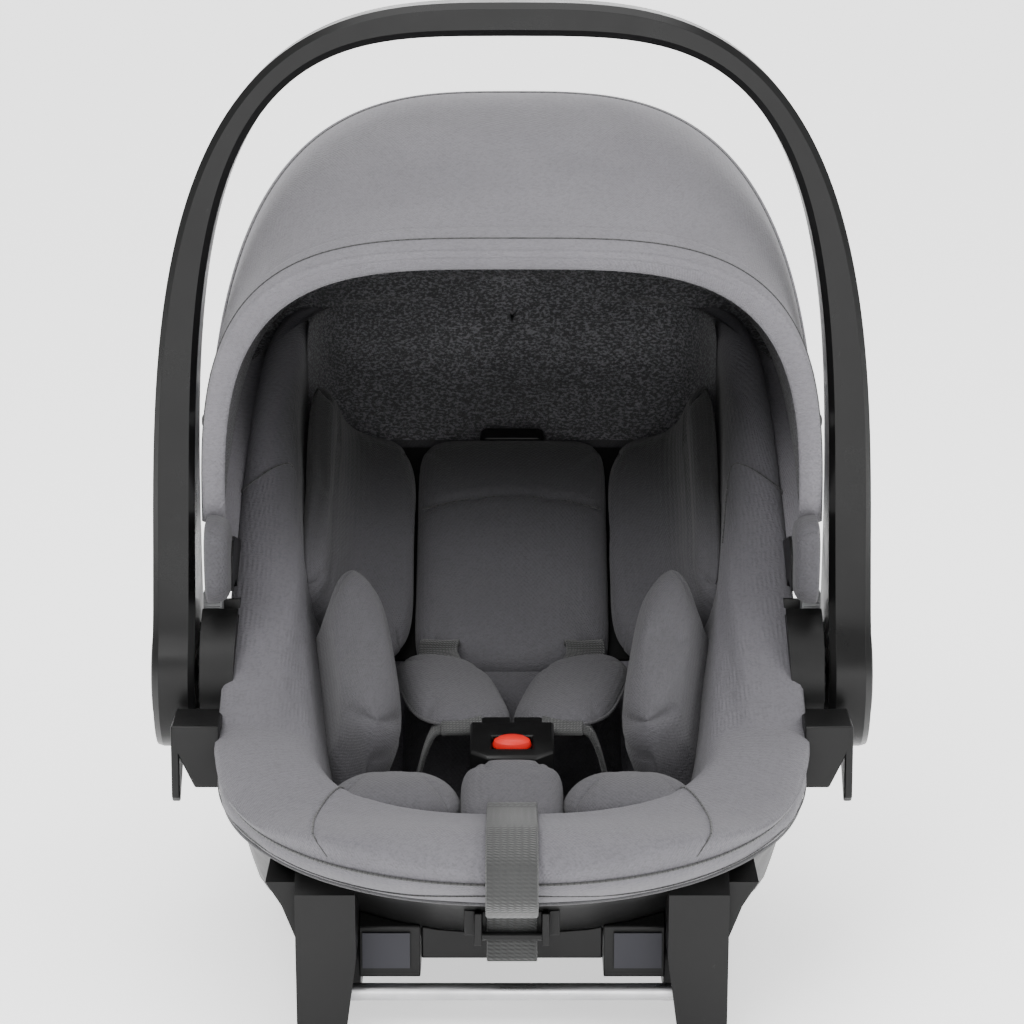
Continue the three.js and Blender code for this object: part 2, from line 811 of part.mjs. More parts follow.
function makeAdjusterStrap() {

	const lift = webbingThickness / 2 + gap + 1;
	const steps = 8;
	const over = Array.from( { length: steps + 1 }, ( _, i ) => {

		const y = - wellFront - 10 + ( wellFront + 10 - bucketFront ) * i / steps;
		return [ 0, y, coverLine( y ) + lift ];

	} );
	const route = [
		[ 0, - wellFront + 9, adjusterPocket.floor + 21 + lift ],
		[ 0, - wellFront + 4, coverLine( - wellFront ) + lift - 1 ],
		[ 0, - wellFront - 3, coverLine( - wellFront ) + lift + 1.5 ],
		...over,
		[ 0, strapFront - 1, coverLine( - bucketFront ) + 1 ],
		[ 0, strapFront - lift, coverLine( - bucketFront ) - 3 ],
		[ 0, strapFront - lift + 1, rimFront - 9 ],
		[ 0, strapFront + 14, 104.5 ],
		[ 0, clipY - 22, clipZ + 19 ],
		[ 0, clipY, clipZ + 4 ],
		[ 0, clipY, clipZ - 20 ],
	];
	return band( route, acrossX, adjusterWidth, webbingThickness );

}

function makeStrapClip() {

	const plate = block( - 27, 27, clipY + 2.5, clipY + 6, clipZ - 6, clipZ + 30 );
	const ear = ( x ) => block( x, x + 4, clipY - 7, clipY + 4, clipZ - 9, clipZ + 10 );
	const bar = barAlongX( 2.5, - 20, 20, clipY - 4, clipZ - 4, 16 );
	const whole = plate.add( ear( - 21 ) ).add( ear( 17 ) ).add( bar );
	return mainBody( whole.subtract( bucket( gap ) ) );

}

// ---------- Rails, docking bars and guides ----------

const railOuter = railInner + railWidth;
const railArch = 10;

function makeRail() {

	const front = footFrontY - footLength / 2;
	const rear = footRearY + footLength / 2;
	const outline = [
		[ front, 0 ], [ front + footLength, 0 ], [ front + footLength + 14, railArch ],
		[ rear - footLength - 14, railArch ], [ rear - footLength, 0 ], [ rear, 0 ], [ rear + 9, 10 ],
		[ rear + 22, 90 ], [ rear - 20, 120 ], [ front + 10, 120 ], [ front - 16, 92 ], [ front - 6, 8 ],
	];
	let rail = extrudeAlongX( outline, railInner, railOuter );
	const taper = [ [ railInner - 20, - 1 ], [ railInner + 7, - 1 ], [ railInner - 1, 60 ], [ railInner - 20, 60 ] ];
	rail = rail.subtract( extrudeAlongY( taper, front - 30, front + footLength + 10 ) );
	const shoulder = [ [ railOuter - 2, 58 ], [ railOuter, 62 ], [ railOuter + 8, 82 ], [ railOuter + 17, 96 ],
		[ railOuter - 2, 96 ] ];
	rail = rail.add( extrudeAlongY( shoulder, front - 4, front + 2 * footLength ) );
	for ( const y of [ footFrontY, footRearY ] ) {

		rail = rail.subtract( barAlongX( barDiameter / 2 + 0.05, railInner - 5, railInner + 16, y, barHeight ) );

	}

	return rail;

}

const makeBar = ( y ) => barAlongX( barDiameter / 2, - railInner - 15, railInner + 15, y, barHeight );

const guideInner = 52.5;
const guideFrontY = - 200;

function makeGuideBlock() {

	const outline = [ [ guideFrontY, 30 ], [ guideFrontY, 60 ], [ guideFrontY + 8, 68 ], [ guideFrontY + 34, 68 ],
		[ guideFrontY + 34, 30 ] ];
	return extrudeAlongX( outline, guideInner, railInner - gap );

}

const makeGuidePad = () => block( guideInner + 6, railInner - gap - 2, guideFrontY - 2.3, guideFrontY - gap,
	36, 57 );

const makeCrossMember = () => mainBody( block( - guideInner + gap, guideInner - gap, guideFrontY + 3,
	guideFrontY + 9, 40, 68 ).subtract( bucket( gap ) ) );

// Hook beside the rim for the lap belt: a closed front, a flat top and a pointed outer lip.
function makeBeltGuide() {

	const inner = bucketHalfWidth + skirtThickness + 2 * gap;
	const reach = inner + 29;
	const y0 = - 92;
	const top = rimHip + 11;
	const web = extrudeAlongY( [ [ inner, top - 38 ], [ inner + 15, top - 38 ], [ reach, top - 9 ],
		[ reach - 3, top ], [ inner, top ] ], y0, y0 + 8 );
	const plate = block( inner, reach - 2, y0, y0 + 42, top - 7, top );
	const lip = extrudeAlongX( [ [ y0, top ], [ y0, top - 44 ], [ y0 + 5, top - 48 ], [ y0 + 30, top - 26 ],
		[ y0 + 42, top ] ], reach - 5, reach );
	return web.add( plate ).add( lip );

}

// Hook on the back of the bucket for the shoulder belt.
function makeRearBeltGuide() {

	const tip = bucketRear - 3;
	const outline = [ [ tip - 70, 150 ], [ tip - 5, 150 ], [ tip, 156 ], [ tip, 194 ], [ tip - 6, 194 ],
		[ tip - 8, 162 ], [ tip - 70, 162 ] ];
	return mainBody( extrudeAlongX( outline, - 42, 42 ).subtract( bucket( gap ) ) );

}

// ---------- Canopy ----------

const canopyReach = smooth( [ [ frontBowAngle - 3, 200 ], [ 0, 226 ], [ 12, 270 ], [ midBowAngle, 310 ],
	[ 50, 333 ], [ rearSeamAngle, 350 ] ] );
const canopyPower = smooth( [ [ frontBowAngle - 3, 3.7 ], [ 8, 3.2 ], [ midBowAngle, 3.1 ],
	[ rearSeamAngle, 4.6 ] ] );

// Half-arch points of a bow or a panel in its own plane: [ across, distance from the hinge line ].
function archPoints( halfWidth, reach, power, lowest, count ) {

	const start = Math.asin( ( lowest / reach ) ** ( power / 2 ) );
	return Array.from( { length: count + 1 }, ( _, i ) => {

		const angle = start + ( Math.PI - 2 * start ) * i / count;
		return [ halfWidth * signedPower( Math.cos( angle ), 2 / power ),
			reach * Math.sin( angle ) ** ( 2 / power ) ];

	} );

}

function inPlane( degrees, [ x, r ], sideways = 0 ) {

	const angle = THREE.MathUtils.degToRad( degrees );
	return new THREE.Vector3( x,
		canopyHingeY + r * Math.sin( angle ) + sideways * Math.cos( angle ),
		canopyHingeZ + r * Math.cos( angle ) - sideways * Math.sin( angle ) );

}

function makeCanopyPanel( from, to, steps, lowest ) {

	const sections = Array.from( { length: steps + 1 }, ( _, i ) => {

		const degrees = from + ( to - from ) * i / steps;
		const arch = ( inset ) => archPoints( canopyHalfWidth - inset, canopyReach( degrees ) - inset,
			canopyPower( degrees ), lowest, 20 ).map( ( p ) => inPlane( degrees, p ) );
		return [ ...arch( 0 ), ...arch( canopyFabric ).toReversed() ];

	} );
	return solidOf( loft( sections ) );

}

function makeBow( degrees, halfWidth ) {

	const edge = THREE.MathUtils.radToDeg( bowWidth / 2 / canopyReach( degrees ) );
	const reach = Math.min( canopyReach( degrees - edge ), canopyReach( degrees + edge ) )
		- canopyFabric - gap - 0.6;
	const power = canopyPower( degrees );
	const outer = archPoints( halfWidth, reach, power, 0.5, 24 );
	const inner = archPoints( halfWidth - bowThickness, reach - bowThickness, power, 0.5, 24 );
	const sections = outer.map( ( point, i ) => [
		inPlane( degrees, point, - bowWidth / 2 ), inPlane( degrees, point, bowWidth / 2 ),
		inPlane( degrees, inner[ i ], bowWidth / 2 ), inPlane( degrees, inner[ i ], - bowWidth / 2 ),
	] );
	let bow = solidOf( loft( sections ) );
	for ( const side of [ - 1, 1 ] ) {

		const [ x0, x1 ] = side > 0 ? [ halfWidth - bowThickness, halfWidth ] : [ - halfWidth, bowThickness - halfWidth ];
		bow = bow.add( barAlongX( 9, x0, x1, canopyHingeY, canopyHingeZ ) );
		bow = bow.subtract( barAlongX( canopyPinRadius + 0.05, x0 - 1, x1 + 1, canopyHingeY, canopyHingeZ ) );

	}

	return mainBody( bow );

}

const canopyPinRadius = 3.5;
const frontBowHalf = canopyHalfWidth - canopyFabric - gap - 0.2;
const midBowHalf = frontBowHalf - bowThickness - 1.3;
const bracketOuter = midBowHalf - bowThickness - 1;

function makeCanopyBracket() {

	const around = [ [ - 14, - 16 ], [ 20, - 16 ], [ 30, - 24 ], [ 58, - 24 ], [ 58, 0 ], [ 6, 14 ],
		[ - 6, 14 ], [ - 14, 6 ] ];
	const outline = around.map( ( [ y, z ] ) => [ canopyHingeY + y, canopyHingeZ + z ] );
	const plate = extrudeAlongX( outline, bracketOuter - 14, bracketOuter );
	return plate.subtract( barAlongX( canopyPinRadius + 0.05, bracketOuter - 4, bracketOuter + 1,
		canopyHingeY, canopyHingeZ ) );

}

const makeCanopyPin = () => barAlongX( canopyPinRadius, bracketOuter - 3.7, frontBowHalf + 0.3, canopyHingeY,
	canopyHingeZ );

// ---------- Lock rings: toothed discs between the hub and the handle's ends ----------

function makeLockRing() {

	const teeth = 18;
	const points = Array.from( { length: teeth * 2 }, ( _, i ) => {

		const angle = Math.PI * i / teeth;
		const radius = i % 2 === 0 ? 33 : 29;
		return [ radius * Math.cos( angle ), pivotZ + radius * Math.sin( angle ) ];

	} );
	return extrudeAlongX( points, hubInner + 0.6, handleInner - 0.6 )
		.subtract( barAlongX( pinRadius + 0.3, hubInner, handleInner, 0, pivotZ ) );

}

// ---------- Assembly ----------

const carrier = new THREE.Group();
carrier.name = 'infant_carrier';

const finishes = {
	coolGreyFabric: [ 0x9a9a9f, 0.9, 0 ],
	darkPlastic: [ 0x3a3b3d, 0.55, 0 ],
	blackPlastic: [ 0x1d1d1f, 0.42, 0 ],
	greyPlastic: [ 0xa4a5a7, 0.5, 0 ],
	bluePlastic: [ 0x2c2d33, 0.6, 0 ],
	foam: [ 0x2b2c2e, 0.95, 0 ],
	webbing: [ 0x4a4c4c, 0.85, 0 ],
	red: [ 0xe2463f, 0.4, 0 ],
	steel: [ 0xc9cacc, 0.25, 1 ],
};

function add( name, solid, finish ) {

	const [ color, roughness, metalness ] = finishes[ finish ];
	const material = new THREE.MeshStandardMaterial( { color, roughness, metalness } );
	const mesh = new THREE.Mesh( geometryOf( solid ), material );
	mesh.name = name;
	carrier.add( mesh );

}

// A piece on each side; what it is trimmed to is not mirrored, so that both fit the same tub.
function addPair( name, solid, finish, trim = ( piece ) => piece ) {

	add( `${ name }_right`, mainBody( trim( solid ) ), finish );
	add( `${ name }_left`, mainBody( trim( mirrored( solid ) ) ), finish );

}

const clearOfBucket = ( piece ) => piece.subtract( bucket( gap ) );
const clearOfCover = ( piece ) => piece.subtract( bucket( skirtThickness + 2 * gap ) );
const insideWell = ( piece ) => piece.intersect( inWell );
const insideHeadrestRoom = ( piece ) => piece.intersect( headrestRoom );

const thighPad = makeThighPad();

add( 'shell', makeShell(), 'darkPlastic' );
add( 'foam_liner', makeFoamLiner(), 'foam' );
add( 'seat_cover', makeSeatCover(), 'coolGreyFabric' );
add( 'seat_pad', makeSeatPad(), 'coolGreyFabric' );
addPair( 'thigh_pad', thighPad, 'coolGreyFabric', insideWell );
addPair( 'bolster', makeBolster(), 'coolGreyFabric', insideWell );
add( 'headrest_board', makeHeadrestBoard(), 'blackPlastic' );
add( 'headrest_pad', makeHeadrestPad(), 'coolGreyFabric' );
addPair( 'headrest_wing', makeHeadrestWing(), 'coolGreyFabric', insideHeadrestRoom );
add( 'headrest_latch', makeHeadrestLatch(), 'blackPlastic' );
add( 'crotch_strap', makeCrotchStrap(), 'webbing' );
add( 'crotch_pad', makeCrotchPad(), 'coolGreyFabric' );
add( 'buckle_body', makeBuckleBody(), 'blackPlastic' );
add( 'buckle_button', makeBuckleButton(), 'red' );
addPair( 'tongue', makeTongue(), 'blackPlastic' );
addPair( 'shoulder_pad', makeShoulderPad(), 'coolGreyFabric' );
addPair( 'shoulder_strap', makeShoulderStrap(), 'webbing' );
addPair( 'lap_strap', makeLapStrap(), 'webbing' );
add( 'adjuster_housing', makeAdjusterHousing(), 'blackPlastic' );
add( 'adjuster_lever', makeAdjusterLever(), 'greyPlastic' );
add( 'adjuster_strap', makeAdjusterStrap(), 'webbing' );
add( 'strap_clip', makeStrapClip(), 'blackPlastic' );
addPair( 'rail', makeRail(), 'darkPlastic', clearOfBucket );
add( 'front_bar', makeBar( footFrontY ), 'steel' );
add( 'rear_bar', makeBar( footRearY ), 'steel' );
addPair( 'guide_block', makeGuideBlock(), 'darkPlastic', clearOfBucket );
addPair( 'guide_pad', makeGuidePad(), 'bluePlastic' );
add( 'cross_member', makeCrossMember(), 'darkPlastic' );
addPair( 'belt_guide', makeBeltGuide(), 'darkPlastic' );
add( 'rear_belt_guide', makeRearBeltGuide(), 'darkPlastic' );
addPair( 'hub_boss', makeHubBoss(), 'blackPlastic', clearOfBucket );
addPair( 'lock_ring', makeLockRing(), 'steel' );
addPair( 'pivot_pin', makePivotPin(), 'steel' );
addPair( 'handle_button', makeHandleButton(), 'greyPlastic' );
add( 'handle_bow', makeHandleBow(), 'blackPlastic' );
addPair( 'canopy_bracket', makeCanopyBracket(), 'blackPlastic', clearOfCover );
addPair( 'canopy_pin', makeCanopyPin(), 'steel' );
add( 'canopy_front_bow', makeBow( frontBowAngle, frontBowHalf ), 'blackPlastic' );
add( 'canopy_mid_bow', makeBow( midBowAngle, midBowHalf ), 'blackPlastic' );
add( 'canopy_front_panel', makeCanopyPanel( frontBowAngle - 3, midBowAngle - 0.1, 8, 26 ), 'coolGreyFabric' );
add( 'canopy_rear_panel', makeCanopyPanel( midBowAngle + 0.1, rearSeamAngle, 6, 26 ), 'coolGreyFabric' );

export default carrier;
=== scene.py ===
import bmesh
import bpy
import json
from math import asin, cos, pi, radians, sin, sqrt, tan
from mathutils import Matrix, Vector, noise

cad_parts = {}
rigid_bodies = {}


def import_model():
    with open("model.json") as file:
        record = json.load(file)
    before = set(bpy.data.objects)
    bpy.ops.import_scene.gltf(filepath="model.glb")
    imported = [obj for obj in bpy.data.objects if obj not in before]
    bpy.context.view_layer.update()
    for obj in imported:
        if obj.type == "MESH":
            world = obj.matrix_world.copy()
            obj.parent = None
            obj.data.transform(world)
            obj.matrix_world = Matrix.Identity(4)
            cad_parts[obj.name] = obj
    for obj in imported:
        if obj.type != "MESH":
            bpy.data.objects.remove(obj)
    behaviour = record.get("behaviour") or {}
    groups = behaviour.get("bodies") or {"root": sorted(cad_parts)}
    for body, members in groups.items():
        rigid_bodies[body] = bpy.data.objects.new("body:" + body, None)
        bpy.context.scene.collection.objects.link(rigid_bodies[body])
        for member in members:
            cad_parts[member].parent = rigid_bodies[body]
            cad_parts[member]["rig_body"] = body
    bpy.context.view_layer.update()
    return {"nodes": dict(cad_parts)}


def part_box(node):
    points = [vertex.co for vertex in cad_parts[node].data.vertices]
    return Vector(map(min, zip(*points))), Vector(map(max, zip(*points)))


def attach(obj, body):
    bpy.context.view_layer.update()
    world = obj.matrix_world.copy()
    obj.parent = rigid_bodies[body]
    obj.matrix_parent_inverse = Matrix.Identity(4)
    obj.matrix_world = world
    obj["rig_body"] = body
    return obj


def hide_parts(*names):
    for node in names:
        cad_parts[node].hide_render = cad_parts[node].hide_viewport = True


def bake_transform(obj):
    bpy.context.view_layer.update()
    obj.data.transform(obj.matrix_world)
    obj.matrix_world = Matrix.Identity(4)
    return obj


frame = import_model()
MM = 0.001
SIDES = (("left", -1), ("right", 1))


# ---------- Shader building ----------

class Value:
    """A socket whose arithmetic adds Math nodes to the tree."""

    def __init__(self, look, socket):
        self.look = look
        self.socket = socket

    def math(self, operation, *others):
        return self.look.node("ShaderNodeMath", [self, *others], operation=operation)

    def __add__(self, other):
        return self.math("ADD", other)

    def __sub__(self, other):
        return self.math("SUBTRACT", other)

    def __mul__(self, other):
        return self.math("MULTIPLY", other)

    def __truediv__(self, other):
        return self.math("DIVIDE", other)

    def __rsub__(self, other):
        return self.look.node("ShaderNodeMath", [other, self], operation="SUBTRACT")

    __radd__ = __add__
    __rmul__ = __mul__

    def sine(self):
        return self.math("SINE")

    def smooth_between(self, low, high):
        inputs = {"Value": self, "From Min": low, "From Max": high}
        return self.look.node("ShaderNodeMapRange", inputs, interpolation_type="SMOOTHSTEP")


class Look:
    """A Principled material and the nodes that feed it."""

    def __init__(self, name, **constants):
        self.material = bpy.data.materials.new(name)
        self.material.use_nodes = True
        self.tree = self.material.node_tree
        self.shader = self.tree.nodes["Principled BSDF"]
        for key, value in constants.items():
            self.shader.inputs[key.replace("_", " ")].default_value = value

    def node(self, kind, inputs=(), output=0, **settings):
        made = self.tree.nodes.new(kind)
        for key, value in settings.items():
            setattr(made, key, value)
        pairs = inputs.items() if isinstance(inputs, dict) else enumerate(inputs)
        for key, value in pairs:
            if isinstance(value, Value):
                self.tree.links.new(value.socket, made.inputs[key])
            else:
                made.inputs[key].default_value = value
        return Value(self, made.outputs[output])

    def feed(self, name, value):
        self.tree.links.new(value.socket, self.shader.inputs[name])

    def place(self):
        return self.node("ShaderNodeTexCoord", output="Object")

    def along(self):
        """The piece's own UV map, in metres: across first, then along."""
        split = self.node("ShaderNodeSeparateXYZ", [self.node("ShaderNodeTexCoord", output="UV")])
        return split, Value(self, split.socket.node.outputs[1])

    def noise(self, scale, detail=3.0, roughness=0.5, stretch=None):
        at = self.place()
        if stretch:
            at = self.node("ShaderNodeMapping", {"Vector": at, "Scale": stretch})
        inputs = {"Vector": at, "Scale": scale, "Detail": detail, "Roughness": roughness}
        return self.node("ShaderNodeTexNoise", inputs)

    def blend(self, factor, first, second):
        colours = {}
        for key, value in ((6, first), (7, second)):
            colours[key] = value if isinstance(value, Value) else (*value, 1.0)
        return self.node("ShaderNodeMix", {0: factor, **colours}, 2, data_type="RGBA")

    def bump(self, height, distance, strength=1.0):
        inputs = {"Height": height, "Distance": distance, "Strength": strength}
        self.feed("Normal", self.node("ShaderNodeBump", inputs))


def grey(level, tint=(1.0, 1.0, 1.0)):
    """A screen level of 0 to 255 as a linear colour."""
    value = level / 255
    linear = value / 12.92 if value < 0.04 else ((value + 0.055) / 1.055) ** 2.4
    return tuple(linear * t for t in tint)


def knit(name, base, fleck, depth=0.5, painted_shade=None, sheen=0.1):
    """Knitted jersey: fine ribs on the piece's UV, heather flecks and slow tone changes. If a shade tuple is
    given, shade is painted in: the colour blends to its dark colour as height goes from low to high, from
    the UV distance inside onwards.
    """
    look = Look(name, Roughness=0.9, Sheen_Weight=sheen, Sheen_Roughness=0.5)
    across, along = look.along()
    loops = (across * (2 * pi / 0.0021)).sine() * (along * (2 * pi / 0.0026)).sine()
    ribs = (across * (2 * pi / 0.0042)).sine()
    flecks = look.noise(420.0, 2.0, 0.7, (1.0, 1.0, 1.8)).smooth_between(0.42, 0.66)
    slow = look.noise(16.0, 3.0, 0.6).smooth_between(0.3, 0.72)
    colour = look.blend(flecks * depth, base, fleck)
    colour = look.blend(slow * 0.22, colour, tuple(c * 0.72 for c in base))
    if painted_shade:
        # Painted shade: the colour blends to dark as height rises from low to high, from inside onwards
        # along the UV.
        low, high, dark, inside = painted_shade
        height = look.node("ShaderNodeSeparateXYZ", [look.place()], "Z")
        depth = height.smooth_between(low, high) * along.smooth_between(inside, inside + 0.03)
        colour = look.blend(depth, colour, dark)
    look.feed("Base Color", colour)
    look.feed("Roughness", 0.82 + slow * 0.12)
    look.bump(loops * 0.4 + ribs * 0.25 + flecks * 0.6, 0.0005, 0.55)
    return look.material


def moulded(name, base, roughness, grain=0.35, worn=(0.35, 0.35, 0.36)):
    """Moulded plastic: a fine spark-eroded grain, faint handling marks and a paler bloom."""
    look = Look(name, IOR=1.46, Specular_IOR_Level=0.28)
    fine = look.noise(2300.0, 2.0, 0.6)
    slow = look.noise(24.0, 4.0, 0.55).smooth_between(0.32, 0.7)
    marks = look.noise(190.0, 5.0, 0.75, (1.0, 4.0, 1.0)).smooth_between(0.66, 0.76)
    colour = look.blend(slow * 0.3, base, tuple(c * 1.35 for c in base))
    look.feed("Base Color", look.blend(marks * 0.12, colour, worn))
    look.feed("Roughness", roughness + slow * 0.1 + marks * 0.08 - fine * 0.06)
    look.bump(fine, 0.0002, grain)
    return look.material


def webbing(name, base, dark):
    """Woven strap: cross ribs, darker rows along it that repeat across its width, and single threads."""
    look = Look(name, Roughness=0.7, Sheen_Weight=0.2)
    across, along = look.along()
    ribs = (along * (2 * pi / 0.0021)).sine()
    rows = (across * (2 * pi / 0.0031)).sine()
    twill = (along * (2 * pi / 0.0021) + across * (2 * pi / 0.0017)).sine()
    threads = look.noise(900.0, 2.0, 0.7)
    weave = ribs * 0.3 + rows * 0.15 + twill * 0.25
    colour = look.blend((weave + threads).smooth_between(0.1, 1.0), dark, base)
    look.feed("Base Color", colour)
    look.feed("Roughness", 0.55 + threads * 0.3)
    look.bump(weave + threads * 0.4, 0.0006, 0.7)
    return look.material


def metal(name):
    """Drawn steel rod: fine lines along it, soft tarnish."""
    look = Look(name, Metallic=1.0)
    lines = look.noise(700.0, 3.0, 0.7, (0.03, 1.0, 1.0))
    slow = look.noise(40.0, 4.0, 0.6).smooth_between(0.35, 0.75)
    look.feed("Base Color", look.blend(slow * 0.4, (0.62, 0.62, 0.63), (0.4, 0.4, 0.41)))
    look.feed("Roughness", 0.22 + lines * 0.12 + slow * 0.12)
    look.bump(lines, 0.0002, 0.4)
    return look.material


def thread(name, base):
    """Sewing thread laid in stitches along the piece's UV, with painted shade in the gaps between stitches.
    """
    look = Look(name, Roughness=0.75, Sheen_Weight=0.2)
    across, along = look.along()
    # Painted shade: the thread is darkened to 0.35 of its colour in the gaps between stitches, where it dips
    # into its holes.
    hole_shade = (along * (2 * pi / 0.0055)).sine().smooth_between(-0.95, -0.35)
    twist = (along * (2 * pi / 0.0012) + across * 900.0).sine()
    look.feed("Base Color", look.blend(hole_shade, tuple(c * 0.35 for c in base), base))
    look.feed("Roughness", 0.65 + twist * 0.1)
    look.bump(twist * 0.3 + hole_shade, 0.0004, 0.7)
    return look.material


# The cover's shade tuple is painted shade: the rim roll and the upper well wall darken with height, and the
# skirt is left out.
COVER = knit("cover knit", grey(94, (1.0, 0.965, 1.08)), grey(70, (1.0, 0.98, 1.06)), 0.4,
             (0.195, 0.285, grey(16, (1.0, 1.0, 1.05)), 0.055))
CANOPY = knit("canopy knit", grey(106, (1.0, 0.965, 1.06)), grey(82, (1.0, 0.98, 1.05)), 0.35)
# The insert's shade tuple is painted shade: the headrest pads darken towards their top.
INSERT = knit("insert knit", grey(72, (1.0, 0.97, 1.08)), grey(54, (1.0, 0.98, 1.06)), 0.4,
              (0.20, 0.272, grey(24, (1.0, 1.0, 1.04)), -0.1))
PAD = knit("pad knit", grey(72, (1.0, 0.97, 1.08)), grey(54, (1.0, 0.98, 1.06)), 0.4)
HEATHER = knit("heather lining", grey(48, (1.0, 0.99, 1.06)), grey(118, (0.98, 0.98, 1.05)), 0.75)
# Painted shade: a dark cloth colour for the strip under the front hoop, which stands in for the hoop's
# shadow gap.
HOOP_SHADE = knit("painted hoop shade", grey(34), grey(52), 0.4)
PIPING = knit("piping", grey(66, (1.0, 0.98, 1.05)), grey(50), 0.4)
HANDLE = moulded("handle plastic", grey(9), 0.3, 0.12, (0.12, 0.12, 0.12))
SHELL = moulded("shell plastic", grey(16), 0.42, 0.3, (0.16, 0.16, 0.16))
FITTING = moulded("fitting plastic", grey(14), 0.4, 0.3, (0.14, 0.14, 0.14))
BLACK = moulded("black plastic", grey(13), 0.35, 0.2, (0.1, 0.1, 0.1))
BUTTON = moulded("button plastic", grey(104, (0.98, 1.0, 1.02)), 0.42, 0.25)
RED = moulded("red plastic", (0.55, 0.016, 0.012), 0.3, 0.12, (0.6, 0.12, 0.1))
STRAP = webbing("harness webbing", grey(40, (0.98, 1.02, 0.99)), grey(36, (0.98, 1.02, 1.0)))
STEEL = metal("steel rod")
BRASS = metal("press stud")
SEAM = thread("seam thread", grey(46))
STITCH = thread("stitching", grey(84))


# ---------- Mesh building ----------

def finished(bm, name, material, body="root", faceted=None):
    """Turns a bmesh in metres into an object that rides on a body, if one is named."""
    for face in bm.faces:
        face.smooth = True
    mesh = bpy.data.meshes.new(name)
    bm.to_mesh(mesh)
    bm.free()
    if faceted:
        mesh.set_sharp_from_angle(angle=radians(faceted))
    obj = bpy.data.objects.new(name, mesh)
    bpy.context.scene.collection.objects.link(obj)
    mesh.materials.append(material)
    if body:
        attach(obj, body)
    return obj


def modify(obj, kind, **settings):
    made = obj.modifiers.new(kind.title(), kind)
    for key, value in settings.items():
        setattr(made, key, value)
    return obj


def rounded_edges(obj, width, segments=2, angle=32):
    return modify(obj, "BEVEL", width=width * MM, segments=segments, limit_method="ANGLE",
                  angle_limit=radians(angle), harden_normals=False)


def net(point, nu, nv, ring=False, capped=False, outward=None):
    """A grid bent onto point(u, v) in millimetres, with UVs in metres. ring joins u's two ends."""
    bm = bmesh.new()
    bmesh.ops.create_grid(bm, x_segments=nu, y_segments=nv, size=1)
    uv_layer = bm.loops.layers.uv.new("UVMap")
    steps = 24
    middle_u = [Vector(point(i / steps, 0.5)) for i in range(steps + 1)]
    middle_v = [Vector(point(0.5, i / steps)) for i in range(steps + 1)]
    width = sum((a - b).length for a, b in zip(middle_u, middle_u[1:])) * MM
    length = sum((a - b).length for a, b in zip(middle_v, middle_v[1:])) * MM
    places = {v: ((v.co.x + 1) / 2, (v.co.y + 1) / 2) for v in bm.verts}
    for face in bm.faces:
        for loop in face.loops:
            u, v = places[loop.vert]
            loop[uv_layer].uv = (u * width, v * length)
    for v, (u, w) in places.items():
        v.co = Vector(point(u, w)) * MM
    if ring:
        bmesh.ops.remove_doubles(bm, verts=bm.verts, dist=2e-6)
    if capped:
        bmesh.ops.holes_fill(bm, edges=[e for e in bm.edges if e.is_boundary], sides=0)
    bmesh.ops.recalc_face_normals(bm, faces=bm.faces)
    if outward is not None:
        face = min(bm.faces, key=lambda f: (f.calc_center_median() - outward[0] * MM).length)
        if face.normal.dot(outward[1]) < 0:
            bmesh.ops.reverse_faces(bm, faces=bm.faces)
    return bm


def spline(points):
    """A smooth curve through points, as a function of 0 to 1 by length."""
    points = [Vector(p) for p in points]
    lengths = [0.0]
    for a, b in zip(points, points[1:]):
        lengths.append(lengths[-1] + (b - a).length)
    last = len(points) - 1

    def at(t):
        s = min(max(t, 0.0), 1.0) * lengths[-1]
        i = 0
        while i < last - 1 and s > lengths[i + 1]:
            i += 1
        step = lengths[i + 1] - lengths[i]
        k = (s - lengths[i]) / step
        before, after = max(i - 1, 0), min(i + 2, last)
        slope_in = (points[i + 1] - points[before]) * step / (lengths[i + 1] - lengths[before])
        slope_out = (points[after] - points[i]) * step / (lengths[after] - lengths[i])
        k2, k3 = k * k, k * k * k
        return (points[i] * (2 * k3 - 3 * k2 + 1) + slope_in * (k3 - 2 * k2 + k)
                + points[i + 1] * (3 * k2 - 2 * k3) + slope_out * (k3 - k2))

    return at


def strap(name, route, side, width, thickness, material, body="root", steps=40):
    """Flat webbing along a route; side is the direction of its width, or a function of 0 to 1."""
    path = spline(route)
    side_at = side if callable(side) else lambda t: side
    half, rise = width / 2, thickness / 2
    lip = rise * 0.7
    outline = [(-half, 0), (-half + lip, rise), (-half * 0.5, rise), (0, rise), (half * 0.5, rise),
               (half - lip, rise), (half, 0), (half - lip, -rise), (0, -rise), (-half + lip, -rise)]
    count = len(outline)

    def point(u, v):
        a, b = outline[round(u * count) % count]
        ahead = (path(v + 0.01) - path(v - 0.01)).normalized()
        across = Vector(side_at(v))
        across = (across - ahead * across.dot(ahead)).normalized()
        return path(v) + across * a + across.cross(ahead) * b

    return finished(net(point, count, steps, True, True), name, material, body)


def cordlike(name, path, radius, material, body="root", steps=80, closed=False):
    """A round thread or piping along path(0..1)."""
    def point(u, v):
        span = 0.5 / steps
        if closed:
            ahead = path((v + span) % 1) - path((v - span) % 1)
        else:
            ahead = path(min(v + span, 1)) - path(max(v - span, 0))
        ahead = ahead.normalized()
        across = ahead.cross(Vector((0.13, 0.21, 1))).normalized()
        rise = across.cross(ahead)
        turn = 2 * pi * u
        middle = path(v % 1 if closed else v)
        return middle + across * (cos(turn) * radius) + rise * (sin(turn) * radius)

    return finished(net(point, 8, steps, True, not closed), name, material, body)


